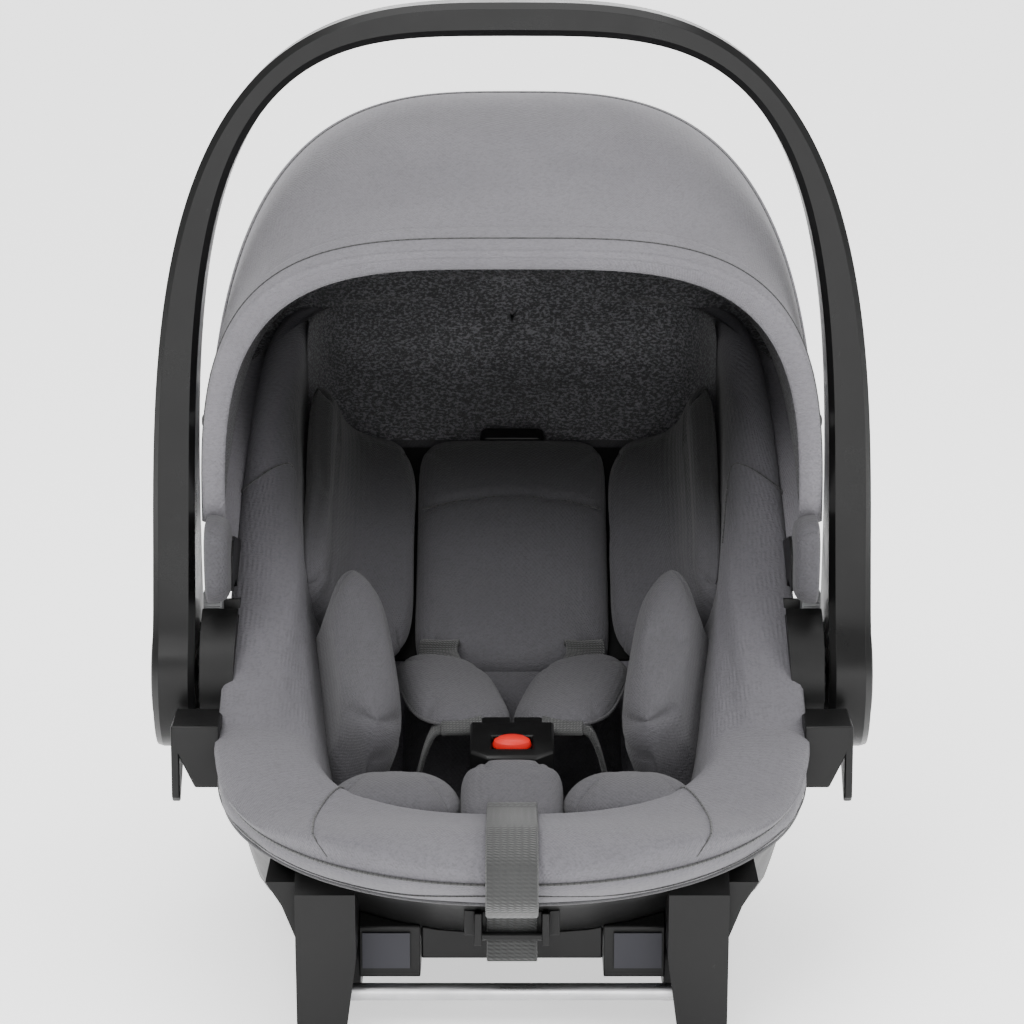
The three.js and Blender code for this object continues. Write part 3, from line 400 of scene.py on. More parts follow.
def smooth(rows):
    def at(value):
        last = len(rows) - 1
        if value <= rows[0][0]:
            return rows[0][1]
        if value >= rows[last][0]:
            return rows[last][1]
        i = 0
        while value > rows[i + 1][0]:
            i += 1

        def slope(a, b):
            return (rows[b][1] - rows[a][1]) / (rows[b][0] - rows[a][0])

        width = rows[i + 1][0] - rows[i][0]
        t = (value - rows[i][0]) / width
        slope_in = slope(max(i - 1, 0), i + 1) * width
        slope_out = slope(i, min(i + 2, last)) * width
        t2, t3 = t * t, t * t * t
        return ((2 * t3 - 3 * t2 + 1) * rows[i][1] + (t3 - 2 * t2 + t) * slope_in
                + (3 * t2 - 2 * t3) * rows[i + 1][1] + (t3 - t2) * slope_out)

    return at


def power(value, exponent):
    return (1 if value >= 0 else -1) * abs(value) ** exponent


def refined(node, material, bevel=0.8):
    """A merged copy of a CAD node with softened edges, which stands for it."""
    source = frame["nodes"][node]
    bm = bmesh.new()
    bm.from_mesh(source.data)
    bmesh.ops.remove_doubles(bm, verts=bm.verts, dist=1e-5)
    bmesh.ops.dissolve_limit(bm, angle_limit=radians(1), verts=bm.verts, edges=bm.edges)
    obj = finished(bm, node + "_piece", material, source["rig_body"], 28)
    if bevel:
        rounded_edges(obj, bevel)
    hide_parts(node)
    return obj


# ---------- The plans that the shell and the well follow ----------

def plan(turn, half, front, rear, back_power):
    """A point of a seat-shaped outline: soft in front, squarer behind."""
    centre = front + (rear - front) * 0.42
    c, s = cos(turn), sin(turn)
    exponent = 2 / (2.2 if s < 0 else back_power)
    reach = centre - front if s < 0 else rear - centre
    return half * power(c, exponent), centre + reach * power(s, exponent)


def stacked(rows):
    columns = [smooth([(row[0], row[k]) for row in rows]) for k in range(1, len(rows[0]))]
    return lambda z: [column(z) for column in columns]


bucket_sizes = stacked([(24, 30, 212, 178), (32, 18, 180, 146), (44, 13, 148, 122), (62, 10, 114, 102),
                        (82, 6.5, 84, 85), (102, 2.5, 42, 70), (120, 0.5, 8, 58), (140, 0, 0, 46),
                        (200, 3, 0, 24), (270, 5.5, 0, 7), (367, 7.5, 0, 0)])
well_sizes = stacked([(72, 57, 155), (85, 43, 112), (100, 35, 67), (120, 29, 25), (136, 25, 0),
                      (162, 20, -22), (200, 11, -35), (250, 4, -45), (298, 1, -50), (368, 0, -50)])
rim_line = smooth([(-322, 124), (-215, 126), (-120, 134), (-60, 138), (-22, 152), (20, 200),
                   (120, 280), (200, 317), (260, 335), (329, 337)])
cover_line = smooth([(-322, 139), (-296, 146), (-217, 135), (-120, 143), (-60, 149), (-22, 164),
                     (20, 212), (120, 289), (200, 328), (260, 344), (329, 345)])
skirt_line = smooth([(-322, 113), (-305, 106), (-282, 100), (-255, 104), (-215, 109), (-60, 112),
                     (40, 118), (200, 205), (329, 270)])


BUCKET_HALF = 171.5
BUCKET_FRONT = -322
BUCKET_REAR = 329
WELL_HALF = 141
WELL_FRONT = -217
WELL_REAR = 310
FLOOR_Z = 72
CREASE_Y = -12
BACK_TILT = radians(35)


def bucket(turn, z, out=0.0):
    side, foot, head = bucket_sizes(z)
    x, y = plan(turn, BUCKET_HALF - side + out, foot + BUCKET_FRONT - out, BUCKET_REAR - head + out, 5)
    return Vector((x, y, z))


def well(turn, z, out=0.0):
    side, foot = well_sizes(z)
    rear = min(CREASE_Y + (z - FLOOR_Z) / tan(BACK_TILT), WELL_REAR)
    x, y = plan(turn, WELL_HALF - side + out, foot + WELL_FRONT - out, rear + out, 7)
    return Vector((x, y, z))


def level_on(surface, line, turn, drop=0.0):
    """The height where surface meets a line of heights over y."""
    z = 150.0
    for _ in range(14):
        z = 0.5 * z + 0.5 * (line(surface(turn, z).y) + drop)
    return z


# ---------- Hard pieces carried over with softened edges ----------

refined("shell", SHELL, 1.2)
for hard, material, bevel in (
        ("front_bar", STEEL, 0.0), ("rear_bar", STEEL, 0.0), ("cross_member", FITTING, 1.2),
        ("rear_belt_guide", SHELL, 1.5), ("headrest_board", SHELL, 0.8), ("headrest_latch", BLACK, 1.4),
        ("buckle_body", BLACK, 1.0), ("adjuster_housing", BLACK, 1.2), ("adjuster_lever", BUTTON, 0.8),
        ("strap_clip", BLACK, 0.9)):
    refined(hard, material, bevel)
for side in ("left", "right"):
    for hard, material, bevel in (
            ("rail", SHELL, 2.6), ("guide_block", FITTING, 1.6), ("belt_guide", SHELL, 1.8),
            ("hub_boss", SHELL, 1.4), ("lock_ring", BLACK, 0.5), ("pivot_pin", STEEL, 0.6),
            ("canopy_bracket", BLACK, 1.0), ("canopy_pin", STEEL, 0.5), ("tongue", BLACK, 0.8)):
        refined(f"{hard}_{side}", material, bevel)


def turned(name, profile, centre, axis, material, body, steps=48):
    """A turned piece: profile rows are radius and height along axis, in millimetres."""
    bm = bmesh.new()
    rows = [bm.verts.new(Vector((radius, 0, height)) * MM) for radius, height in profile]
    edges = [bm.edges.new(pair) for pair in zip(rows, rows[1:])]
    bmesh.ops.spin(bm, geom=rows + edges, cent=(0, 0, 0), axis=(0, 0, 1), angle=2 * pi,
                   steps=steps, use_merge=True)
    bmesh.ops.remove_doubles(bm, verts=bm.verts, dist=2e-6)
    bmesh.ops.recalc_face_normals(bm, faces=bm.faces)
    turn = Vector((0, 0, 1)).rotation_difference(Vector(axis)).to_matrix().to_4x4()
    bmesh.ops.transform(bm, matrix=Matrix.Translation(Vector(centre) * MM) @ turn, verts=bm.verts)
    return finished(bm, name, material, body, 35)


# ---------- Carrying handle ----------

leg_depth = smooth([(113, 78), (180, 78), (220, 56), (280, 44), (380, 38), (573, 38)])
LEG = 0.16
HUB_Z = 160.0
HUB_RADIUS = 47.0
ARCH_Z = 205
ARCH_OUTER = 219.5
ARCH_INNER = 193.5


def handle_section(v):
    """Centre, outward direction, half thickness and half depth of the handle at v."""
    side = -1 if v < 0.5 else 1
    if v < LEG or v > 1 - LEG:
        k = min(v, 1 - v) / LEG
        z = HUB_Z - HUB_RADIUS * cos(k * 1.35)
        if k > 0.6:
            start = HUB_Z - HUB_RADIUS * cos(0.81)
            z = start + (ARCH_Z - start) * (k - 0.6) / 0.4
        inner, outer = Vector((side * ARCH_INNER, 0, z)), Vector((side * ARCH_OUTER, 0, z))
    else:
        angle = pi * (1 - (v - LEG) / (1 - 2 * LEG))
        c, s = cos(angle), sin(angle)
        outer = Vector((ARCH_OUTER * power(c, 2 / 3.1), 0, ARCH_Z + 368 * power(s, 2 / 3.1)))
        inner = Vector((ARCH_INNER * power(c, 2 / 3.6), 0, ARCH_Z + 348 * power(s, 2 / 3.6)))
    z = outer.z
    disc = sqrt(max(HUB_RADIUS ** 2 - (z - HUB_Z) ** 2, 0.0))
    depth = max(disc, leg_depth(z) / 2) if z > 150 else max(disc, 1.0)
    return (inner + outer) / 2, (outer - inner) / 2, depth


def handle_point(u, v):
    centre, out, depth = handle_section(v)
    cut = 4.0
    share = 1 - cut / out.length
    inset = max(depth - cut, 0.5)
    corners = [(share, depth), (1, inset), (1, 0), (1, -inset), (share, -depth), (0, -depth),
               (-share, -depth), (-1, -inset), (-1, 0), (-1, inset), (-share, depth), (0, depth)]
    across, along = corners[round(u * 12) % 12]
    return centre + out * across + Vector((0, along, 0))


handle = finished(net(handle_point, 12, 150, True, True), "handle_arch", HANDLE, "handle", 26)
rounded_edges(handle, 1.3, 3, 26)
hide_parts("handle_bow")
for side, sign in SIDES:
    turned(f"hub_cap_{side}", [(0, 0.6), (22, 0.6), (24, 1.8), (31, 1.8), (33, 0.6), (34, -0.6)],
           (sign * ARCH_OUTER, 0, HUB_Z), (sign, 0, 0), SHELL, "handle")


def ribbed_button(side, sign):
    low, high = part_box(f"handle_button_{side}")
    centre, span = (low + high) / 2, high - low
    bm = bmesh.new()
    bmesh.ops.create_cube(bm, size=1, matrix=Matrix.Translation(centre)
                          @ Matrix.Diagonal((*(span * 0.98), 1)))
    for i in range(5):
        z = low.z + span.z * (0.14 + 0.18 * i)
        bmesh.ops.create_cube(bm, size=1, matrix=Matrix.Translation((centre.x, low.y, z))
                              @ Matrix.Diagonal((span.x * 0.8, 2.2 * MM, span.z * 0.07, 1)))
    piece = finished(bm, f"button_{side}", BUTTON, f"handle_button_{side}", 30)
    rounded_edges(piece, 0.5, 2)
    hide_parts(f"handle_button_{side}")


for side, sign in SIDES:
    ribbed_button(side, sign)


# ---------- Cover: skirt, seam, padded roll and lining in one sheet ----------

SKIRT = 0.16


def cover_profile(turn):
    foot = level_on(bucket, skirt_line, turn)
    rim = level_on(bucket, rim_line, turn)
    inner_top = level_on(well, cover_line, turn, -7)
    outer, inner = bucket(turn, rim, 3.0), well(turn, inner_top, 1.0)
    roll = [bucket(turn, rim, 2.6)]
    for share, drop, lean in ((0.0, 5.5, 3.6), (0.1, 1.8, 1.6), (0.28, 0, 0), (0.5, -0.6, 0), (0.72, 0, 0),
                              (0.9, 2.2, 0)):
        at = outer.lerp(inner, share)
        flat = Vector((at.x, at.y, 0)).normalized()
        roll.append(Vector((at.x, at.y, cover_line(at.y) - drop)) + flat * lean)
    roll.append(inner)
    for k in range(1, 9):
        roll.append(well(turn, inner_top + (72.5 - inner_top) * k / 8, -1.2 * sin(pi * k / 8)))
    last = roll[-1]
    roll.append(Vector((last.x * 0.5, last.y * 0.5 - 15, 72.5)))
    roll.append(Vector((0, -30, 72.5)))
    return foot, rim, spline(roll)


profiles = {}


def cover_point(u, v):
    key = round(u * 100000)
    turn = 2 * pi * u
    if key not in profiles:
        profiles[key] = cover_profile(turn)
    foot, rim, roll = profiles[key]
    if v < SKIRT:
        k = v / SKIRT
        at = bucket(turn, foot + (rim - foot) * k, 3.0 + 1.6 * sin(pi * k))
    else:
        at = roll((v - SKIRT) / (1 - SKIRT))
    crease = noise.noise(Vector((at.x, at.y, at.z)) * 0.022) * 1.5
    crease += noise.noise(Vector((at.x + 300, at.y * 2, at.z)) * 0.05) * 0.6
    flat = Vector((at.x, at.y + 40, 30)).normalized()
    fade = min(abs(v - SKIRT) / 0.03, 1.0)
    return at + flat * crease * fade


cover = finished(net(cover_point, 176, 84, True), "fabric_cover", COVER)
modify(cover, "SOLIDIFY", thickness=1.4 * MM, offset=-1)
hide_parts("seat_cover", "foam_liner")


def around(height, out):
    """A closed line round the bucket, as a function of 0 to 1."""
    def at(w):
        turn = 2 * pi * (w % 1)
        z = level_on(bucket, height, turn)
        return bucket(turn, z, out)
    return at


cordlike("rim_seam", around(rim_line, 3.4), 0.8, SEAM, steps=300, closed=True)
cordlike("skirt_edge", around(skirt_line, 3.4), 1.5, PIPING, steps=300, closed=True)
cordlike("skirt_hem", around(lambda y: skirt_line(y) + 8, 5.1), 0.45, SEAM, steps=300, closed=True)


def roll_seam(name, outer, inner, reach):
    """A cross seam from the rim, at one share of a turn, to the well's edge at another."""
    steps = 26
    spots = []
    for i in range(steps + 1):
        t = i / steps
        roll = cover_profile(2 * pi * (outer + (inner - outer) * t))[2]
        spots.append(roll(0.012 + t * reach) + Vector((0, 0, 0.4)))
    cordlike(name, spline(spots), 0.55, SEAM, steps=60)


for side, mirrored in (("left", lambda u: 0.5 - u), ("right", lambda u: u)):
    for name, outer, inner, reach in (("front", -0.158, -0.095, 0.3), ("hub", 0.012, 0.01, 0.24)):
        roll_seam(f"roll_seam_{name}_{side}", mirrored(outer), mirrored(inner), reach)


# ---------- Stuffed pads ----------

def stuffed(piece, pressure=4.0, most=5.0):
    """Fills a pad with air in a short cloth simulation, and keeps each point's move under most."""
    scene = bpy.context.scene
    cloth = piece.modifiers.new("Cloth", "CLOTH")
    cloth.settings.quality = 5
    cloth.settings.use_pressure = True
    cloth.settings.uniform_pressure_force = pressure
    cloth.settings.effector_weights.gravity = 0
    cloth.point_cache.frame_start, cloth.point_cache.frame_end = 1, 20
    for step in range(1, 21):
        scene.frame_set(step)
    swollen = piece.evaluated_get(bpy.context.evaluated_depsgraph_get())
    places = [v.co.copy() for v in swollen.data.vertices]
    piece.modifiers.remove(cloth)
    scene.frame_set(1)
    for vertex, place in zip(piece.data.vertices, places):
        move = place - vertex.co
        if move.length > most * MM:
            move *= most * MM / move.length
        vertex.co += move


def pillow(name, place, half, front, back, material, body="root", corner=4.0, edge=5.0,
           counts=(44, 30), shape=None, stands_for=(), air=0.0):
    """A crowned pad whose seam runs round its border. place(x, y, rise) puts it on the object."""
    half_x, half_y = half

    def spot(s, t, rise):
        most = max(abs(s), abs(t), 1e-6)
        inset = most / (abs(s) ** corner + abs(t) ** corner + 1e-12) ** (1 / corner)
        return Vector(place(half_x * s * inset, half_y * t * inset, rise))

    def point(u, v):
        s, t = -cos(2 * pi * u), -cos(pi * v)
        crown = sqrt(max(1 - abs(s) ** edge, 0)) * sqrt(max(1 - abs(t) ** edge, 0))
        if abs(t) > 0.99999:
            crown = 0
        rise = crown * (front * (shape(s, t) if shape else 1) if u < 0.5 else -back)
        return spot(s, t, rise)

    piece = finished(net(point, counts[0] * 2, counts[1] * 2, True), name, material, body)
    if air:
        stuffed(piece, most=air)
    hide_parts(*stands_for)

    def border(w):
        w = (w % 1) * 4
        k = 2 * (w % 1) - 1
        s, t = [(k, -1), (1, k), (-k, 1), (-1, -k)][int(w) % 4]
        return spot(s, t, 0)

    return piece, border


BACK_ALONG = Vector((0, cos(BACK_TILT), sin(BACK_TILT)))
BACK_UP = Vector((0, -sin(BACK_TILT), cos(BACK_TILT)))


def on_back(x, along, above):
    return Vector((x, CREASE_Y, FLOOR_Z)) + BACK_ALONG * along + BACK_UP * above


def groove(value, at, width, depth):
    return 1 - depth * 2.718 ** (-((value - at) / width) ** 2)


HEAD_MIDDLE = 210.0
HEAD_HALF = 102.5


def arch(x):
    return 252 - 13 * (x / 61) ** 2


def head_shape(s, t):
    seam = (arch(s * 61) - HEAD_MIDDLE) / HEAD_HALF
    return groove(t, seam, 0.03, 0.2) * (1.06 - 0.08 * s * s)


pillow("head_centre", lambda x, y, rise: on_back(x, HEAD_MIDDLE + y, 6 + rise), (63, HEAD_HALF), 16, 2,
       INSERT, "headrest", 9, 7, (40, 50), head_shape, ["headrest_pad"])
cordlike("head_arch_seam", lambda t: on_back(118 * t - 59, arch(118 * t - 59), 19.6), 0.6, SEAM,
         "headrest", 40)

wing_line = spline([(62, 0, 13), (80, 0, 13.5), (97, 0, 17), (110, 0, 25), (118.5, 0, 37), (124, 0, 52),
                    (127.5, 0, 68), (129.5, 0, 85)])
WING_HALF = 60.0


def wing_place(sign):
    def place(x, y, rise):
        t = (x + WING_HALF) / (2 * WING_HALF)
        at, ahead = wing_line(t), (wing_line(t + 0.01) - wing_line(t - 0.01)).normalized()
        across, above = at.x - ahead.z * rise, at.z + ahead.x * rise
        return on_back(sign * across, HEAD_MIDDLE + y, above)
    return place


for side, sign in SIDES:
    pillow(f"head_wing_{side}", wing_place(sign), (WING_HALF, HEAD_HALF - 1), 10, 4, INSERT, "headrest",
           5, 7, (34, 40), lambda s, t: groove(s, 0.62, 0.05, 0.2), [f"headrest_wing_{side}"], 3.0)

seat_line = smooth([(-110, 89), (-62, 74), (-30, 72), (-12, 75), (10, 88), (82, 138)])


def seat_place(x, y, rise):
    z = seat_line(y)
    slope = (seat_line(y + 2) - seat_line(y - 2)) / 4
    up = Vector((0, -slope, 1)).normalized()
    return Vector((x, y, z)) + up * rise


pillow("seat_cushion", lambda x, y, rise: seat_place(x, y, rise), (69, 84), 12, 1, INSERT, "root", 7, 6,
       (36, 36), lambda s, t: groove(t, -0.25, 0.05, 0.12) * groove(abs(s), 0.72, 0.04, 0.12),
       ["seat_pad"])


def tilted(centre, tilt, sign):
    """A flat pad, tipped about the left-to-right axis."""
    turn = Matrix.Rotation(tilt, 3, "X")
    middle = Vector(centre)

    def place(x, y, rise):
        at = middle + turn @ Vector((x, y, rise))
        return Vector((sign * at.x, at.y, at.z))
    return place


def stood(centre, tilt, sign):
    """A pad on its edge: its width runs up, its thickness faces the middle."""
    turn = Matrix.Rotation(radians(-9), 3, "Z") @ Matrix.Rotation(tilt, 3, "X")
    turn = turn @ Matrix.Rotation(radians(-14), 3, "Y")
    middle = Vector(centre)

    def place(x, y, rise):
        at = middle + turn @ Vector((-rise + 6 * (x / 46) ** 2, y, x))
        return Vector((sign * at.x, at.y, at.z))
    return place


pad_along = Vector((0.2, 0.96, 0.12)).normalized()
pad_up = Vector((-0.2, -0.1, 1)).normalized()
pad_across = pad_along.cross(pad_up).normalized()
pad_rise = pad_across.cross(pad_along)


def shoulder_place(sign):
    def place(x, y, rise):
        at = Vector((36, -9, 147.5)) + pad_across * x + pad_along * y + pad_rise * (rise - 0.004 * x * x)
        return Vector((sign * at.x, at.y, at.z))
    return place


def raised_band(s, t):
    """Two channels that leave a band along the middle of a bolster."""
    return groove(s, 0.42, 0.05, 0.22) * groove(s, -0.42, 0.05, 0.22)


for side, sign in SIDES:
    pillow(f"bolster_pad_{side}", stood((97, -24, 153), 0.5, sign), (45, 78), 17, 14, PAD, "root", 5,
           7, (30, 40), raised_band, [f"bolster_{side}"], 4.0)
    pillow(f"thigh_cushion_{side}", tilted((69, -142, 112), -0.26, sign), (41, 54), 19, 8, PAD, "root",
           3.4, 4, (30, 32), lambda s, t: groove(t, 0.3, 0.05, 0.12), [f"thigh_pad_{side}"], 4.0)
    pad, border = pillow(f"shoulder_cushion_{side}", shoulder_place(sign), (32, 55), 9.5, 3.5, PAD,
                         f"tongue_{side}", 3.4, 6, (26, 34), None, [f"shoulder_pad_{side}"])
    cordlike(f"shoulder_piping_{side}", border, 1.1, PIPING, f"tongue_{side}", 120, True)

pillow("crotch_cushion", tilted((0, -157, 121), 0.3, 1), (30, 36), 14, 10, PAD, "root", 3.6, 5, (26, 30),
       lambda s, t: groove(abs(s), 0.6, 0.05, 0.2), ["crotch_pad"], 3.0)


# ---------- Harness webbing, buckle button ----------

for side, sign in SIDES:
    pad_end = (sign * 47.2, 60, 156)
    route = [(sign * 30, -78, 140.5), (sign * 31, -52, 146), (sign * 33, -14, 146), (sign * 41, 36, 151),
             pad_end, (sign * 46, 74, 160), tuple(on_back(sign * 44, 116, 5))]
    piece = strap(f"shoulder_webbing_{side}", route, (1, 0, 0), 25, 2.0, STRAP, None)
    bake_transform(piece)
    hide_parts(f"shoulder_strap_{side}")
    start = (sign * 42.5, -66, 141.8)
    route = [start, (sign * 47, -65.5, 139), (sign * 52, -64, 128), (sign * 57, -63, 110)]
    piece = strap(f"lap_webbing_{side}", route, (0, 0.978, 0.208), 17, 2.0, STRAP, None, 20)
    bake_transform(piece)
    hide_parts(f"lap_strap_{side}")

crotch_webbing = strap("crotch_webbing", [(0, -116, 90), (0, -121, 110), (0, -122, 131)], (1, 0, 0), 30, 2.2,
                       STRAP, "root", 16)
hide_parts("crotch_strap")

LIFT = 2.8
over = [(0, -227 - 95 * i / 8, cover_line(-227 - 95 * i / 8) + LIFT) for i in range(9)]
strap_route = [(0, -207, 126.5), (0, -213, cover_line(-217) + 1.4), (0, -220, cover_line(-217) + 3.9), *over,
               (0, -328.5, 138), (0, -330.5, 132), (0, -329.5, 116), (0, -312, 104), (0, -263, 93),
               (0, -243, 80), (0, -241, 54)]
adjuster = strap("adjuster_webbing", strap_route, (1, 0, 0), 28.5, 2.2, STRAP, "root", 110)
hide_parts("adjuster_strap")

button = turned("release_button", [(0, 3.6), (4, 3.4), (8, 2.6), (10.6, 1.0), (11.6, -1.5), (11.7, -2.6)],
                (0, 0, 0), (0, 0, 1), RED, None)
tilt = Matrix.Translation(Vector((0, -102.6, 142.8)) * MM) @ Matrix.Rotation(radians(12), 4, "X")
button.data.transform(tilt @ Matrix.Diagonal((1, 0.62, 1, 1)))
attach(button, "buckle_button")
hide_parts("buckle_button")


# ---------- Canopy ----------

HINGE_Y = -10.0
HINGE_Z = 232.0
reach_at = smooth([(-12.5, 200), (0, 226), (12, 270), (29, 310), (50, 333), (68.5, 350)])
power_at = smooth([(-12.5, 3.7), (8, 3.2), (29, 3.1), (68.5, 4.6)])
LOWEST = 26.0


def canopy_point(phi, share, out=0.0):
    """phi in degrees back from upright; share runs from the left foot over to the right one."""
    reach, exponent = reach_at(phi), power_at(phi)
    first = asin((LOWEST / reach) ** (exponent / 2))
    theta = first + (pi - 2 * first) * (1 - share)
    half = 187 + out
    x = half * power(cos(theta), 2 / exponent)
    r = (reach + out) * power(sin(theta), 2 / exponent)
    angle = radians(phi)
    return Vector((x, HINGE_Y + r * sin(angle), HINGE_Z + r * cos(angle)))


def panel(name, start, end, material, out=0.0, sag=0.0, steps=(96, 34), share=(0.0, 1.0)):
    def point(u, v):
        phi = start + (end - start) * v
        dip = sag * sin(pi * v)
        ripple = noise.noise(Vector((u * 9, v * 3, start))) * 1.6 * sin(pi * v)
        return canopy_point(phi, share[0] + (share[1] - share[0]) * u, out - dip + ripple)
    outward = Vector((0, HINGE_Y, HINGE_Z + 280)), Vector((0, 0.3, 1))
    bm = net(point, steps[0], steps[1], False, False, outward)
    piece = finished(bm, name, material, None)
    return modify(piece, "SOLIDIFY", thickness=1.1 * MM, offset=-1)


rear = panel("canopy_rear", 68.5, 28.0, CANOPY, 1.2, 3.0)
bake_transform(rear)
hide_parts("canopy_rear_panel")
lining = panel("canopy_rear_lining", 68.0, 29.0, HEATHER, -4.5, 2.5)
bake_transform(lining)
front = panel("canopy_front", 28.6, -11.5, CANOPY, 1.2, 1.6)
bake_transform(front)
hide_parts("canopy_front_panel")
front_lining = panel("canopy_front_lining", 28.6, -7.0, CANOPY, -4.0, 1.4)
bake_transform(front_lining)


def hoop(name, phi, half_width, thick, material, body, out=0.0, steps=110):
    """A flattened sleeve of cloth round a bow."""
    def point(u, v):
        turn = 2 * pi * u
        span = half_width * power(cos(turn), 0.6)
        rise = thick * power(sin(turn), 0.8)
        return canopy_point(phi + span, v, out + rise)
    return finished(net(point, 24, steps, True, True), name, material, body)


front_hem = hoop("canopy_hoop_hem", -9.6, 2.9, 3.4, CANOPY, "canopy_front", -1.2)
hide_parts("canopy_front_bow")
mid_hem = hoop("canopy_mid_channel", 29.0, 1.5, 3.0, CANOPY, "canopy_mid", 0.0)
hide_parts("canopy_mid_bow")
hoop("canopy_rear_hem", 67.2, 1.2, 2.2, PIPING, "root", 0.6)
cordlike("hoop_stitch_0", lambda t: canopy_point(-9.9, t, 2.35), 0.45, SEAM, "canopy_front", 200)
for index, phi in enumerate((27.2, 30.8)):
    cordlike(f"mid_stitch_{index}", lambda t, p=phi: canopy_point(p, t, 1.5), 0.3, STITCH,
             "canopy_mid", 200)
# Painted shade: a dark strip inside the front hoop's lower edge, where there is only the hoop's shadow.
underside = panel("hoop_shade_sheet", -8.8, -12.0, HOOP_SHADE, -4.4, 0.0, (96, 6))
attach(underside, "canopy_front")

for side, sign in SIDES:
    for index, (phi, share) in enumerate(((-4.0, 0.06), (20.0, 0.07))):
        share = share if sign < 0 else 1 - share
        at = canopy_point(phi, share, 2.2)
        turned(f"press_stud_{side}_{index}", [(0, 1.8), (2.4, 1.6), (4.2, 0.8), (5.0, 0), (5.0, -0.8)],
               tuple(at), (sign, 0, 0), BRASS, "canopy_front" if index == 0 else "canopy_mid", 24)


def drop_point(u, v):
    """The heather lining from the canopy's rear seam over the rim and down the back of the well."""
    key = round(u * 1000)
    if key not in drops:
        share = 0.13 + 0.74 * u
        top = canopy_point(67.5, share, -5)
        spots = [top]
        for z, lean in ((344, 0), (330, -6), (305, -7), (280, -6), (258, -4.5)):
            side, foot = well_sizes(z)
            half, front_y = WELL_HALF - side, foot + WELL_FRONT
            rear_y = min(CREASE_Y + (z - FLOOR_Z) / tan(BACK_TILT), WELL_REAR)
            x = (2 * u - 1) * (half - 3)
            centre = front_y + (rear_y - front_y) * 0.42
            depth = centre + (rear_y - centre) * (1 - abs(x / half) ** 7) ** (1 / 7)
            spots.append(Vector((x, depth + lean, z)))
        drops[key] = spline(spots)
    return drops[key](v)


drops = {}
drop = finished(net(drop_point, 72, 30, False, False, (Vector((0, 300, 305)), Vector((0, -1, 0)))),
                "heather_drop", HEATHER)
for side, sign in SIDES:
    def tab_place(x, y, rise, sign=sign):
        return Vector((sign * (184.6 + rise), HINGE_Y - 10 + x - 0.12 * (y + 20), HINGE_Z + 4 + y))

    pillow(f"canopy_tab_{side}", tab_place, (24, 27), 2.4, 13, PAD, "canopy_front", 3.2, 8, (22, 26),
           None)


def facing_point(u, v):
    """The turned-in front face of the hoop's sleeve."""
    return canopy_point(-12.2 + 0.5 * v, u, 1.8 - 13.5 * v) + Vector((0, -1.6 * sin(pi * v), 0))


facing = finished(net(facing_point, 110, 8, False, False, (Vector((0, -50, 430)), Vector((0, -1, 0)))),
                  "hoop_facing", CANOPY, "canopy_front")
modify(facing, "SOLIDIFY", thickness=1.0 * MM, offset=-1)

rim_spots = [(u / 240, bucket(2 * pi * u / 240, level_on(bucket, rim_line, 2 * pi * u / 240), 4))
             for u in range(-12, 133)]


def gusset_point(u, v):
    """Cloth that joins the canopy's rear seam to the shell's rim."""
    key = round(u * 1000)
    if key not in gussets:
        top = canopy_point(67.5, u, -1.5)
        low = min(rim_spots, key=lambda spot: (spot[1] - top).length)[1]
        gussets[key] = top, low
    top, low = gussets[key]
    return top.lerp(low, v) + Vector((0, 0, -2.5 * sin(pi * v)))


gussets = {}
gusset = finished(net(gusset_point, 90, 6, False, False, (Vector((0, 320, 350)), Vector((0, 1, 0)))),
                  "canopy_gusset", CANOPY)
modify(gusset, "SOLIDIFY", thickness=1.0 * MM, offset=-1)


# ---------- Floor, light and camera ----------

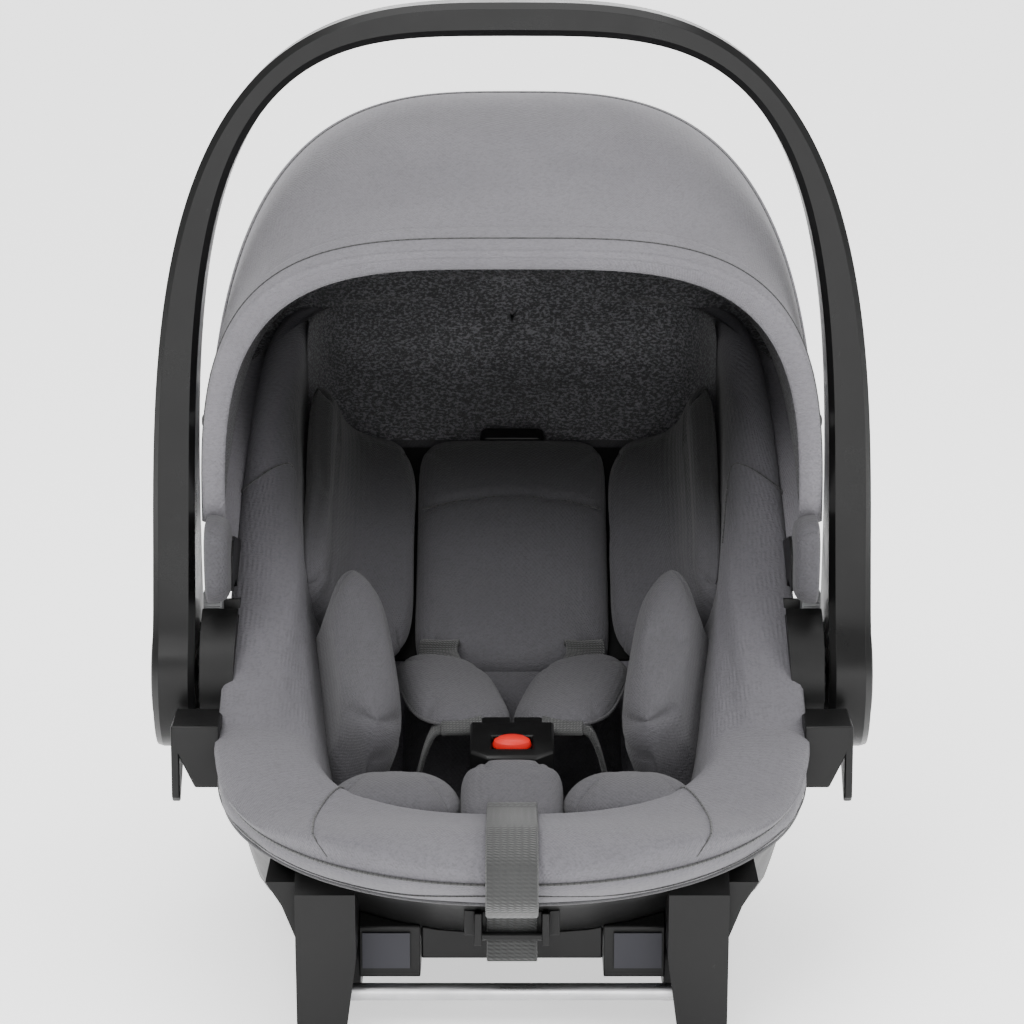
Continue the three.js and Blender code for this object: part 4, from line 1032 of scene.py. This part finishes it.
def backdrop():
    bm = bmesh.new()
    bmesh.ops.create_grid(bm, x_segments=1, y_segments=1, size=4)
    ends = [e for e in bm.edges if all(v.co.y > 3.9 for v in e.verts)]
    made = bmesh.ops.extrude_edge_only(bm, edges=ends)["geom"]
    bmesh.ops.translate(bm, vec=(0, 0, 6), verts=[v for v in made if isinstance(v, bmesh.types.BMVert)])
    bmesh.ops.bevel(bm, geom=ends, offset=1.6, segments=16, profile=0.5, affect="EDGES", material=-1)
    look = Look("studio paper", Roughness=0.92, Emission_Color=(1, 1, 1, 1), Emission_Strength=1.0)
    tone = look.noise(3.0, 3.0)
    look.feed("Base Color", look.blend(tone * 0.2, grey(254), grey(251)))
    return finished(bm, "studio_paper", look.material, None)


paper = backdrop()
if paper.data.polygons[0].normal.z < 0:
    paper.data.flip_normals()
for name, place, aim, energy, breadth, height in (
        ("key_light", (-1.1, -1.9, 2.3), (0, 0, 0.25), 58, 1.8, 1.4),
        ("fill_light", (2.0, -1.5, 1.3), (0, 0, 0.25), 34, 1.6, 1.6),
        ("top_light", (0.0, 0.3, 2.7), (0, 0, 0.2), 50, 2.2, 2.2),
        ("front_light", (0.0, -2.9, 0.6), (0, 0, 0.2), 22, 2.0, 1.0)):
    light = bpy.data.lights.new(name, "AREA")
    light.shape = "RECTANGLE"
    light.energy, light.size, light.size_y = energy, breadth, height
    lamp = bpy.data.objects.new(name, light)
    bpy.context.scene.collection.objects.link(lamp)
    lamp.location = place
    lamp.rotation_euler = (Vector(aim) - Vector(place)).to_track_quat("-Z", "Y").to_euler()

world = bpy.data.worlds.new("studio")
bpy.context.scene.world = world
world.use_nodes = True
world.node_tree.nodes["Background"].inputs["Color"].default_value = (1, 1, 1, 1)
world.node_tree.nodes["Background"].inputs["Strength"].default_value = 0.85

camera_data = bpy.data.cameras.new("camera")
camera_data.sensor_width = 36
camera_data.lens = 125.6
camera = bpy.data.objects.new("camera", camera_data)
bpy.context.scene.collection.objects.link(camera)
target = Vector((0, 0, 0.2605))
camera_tilt = radians(12)
camera_distance = 2.2
camera.location = target + Vector((0, -cos(camera_tilt), sin(camera_tilt))) * camera_distance
camera.rotation_euler = (target - camera.location).to_track_quat("-Z", "Y").to_euler()
bpy.context.scene.camera = camera
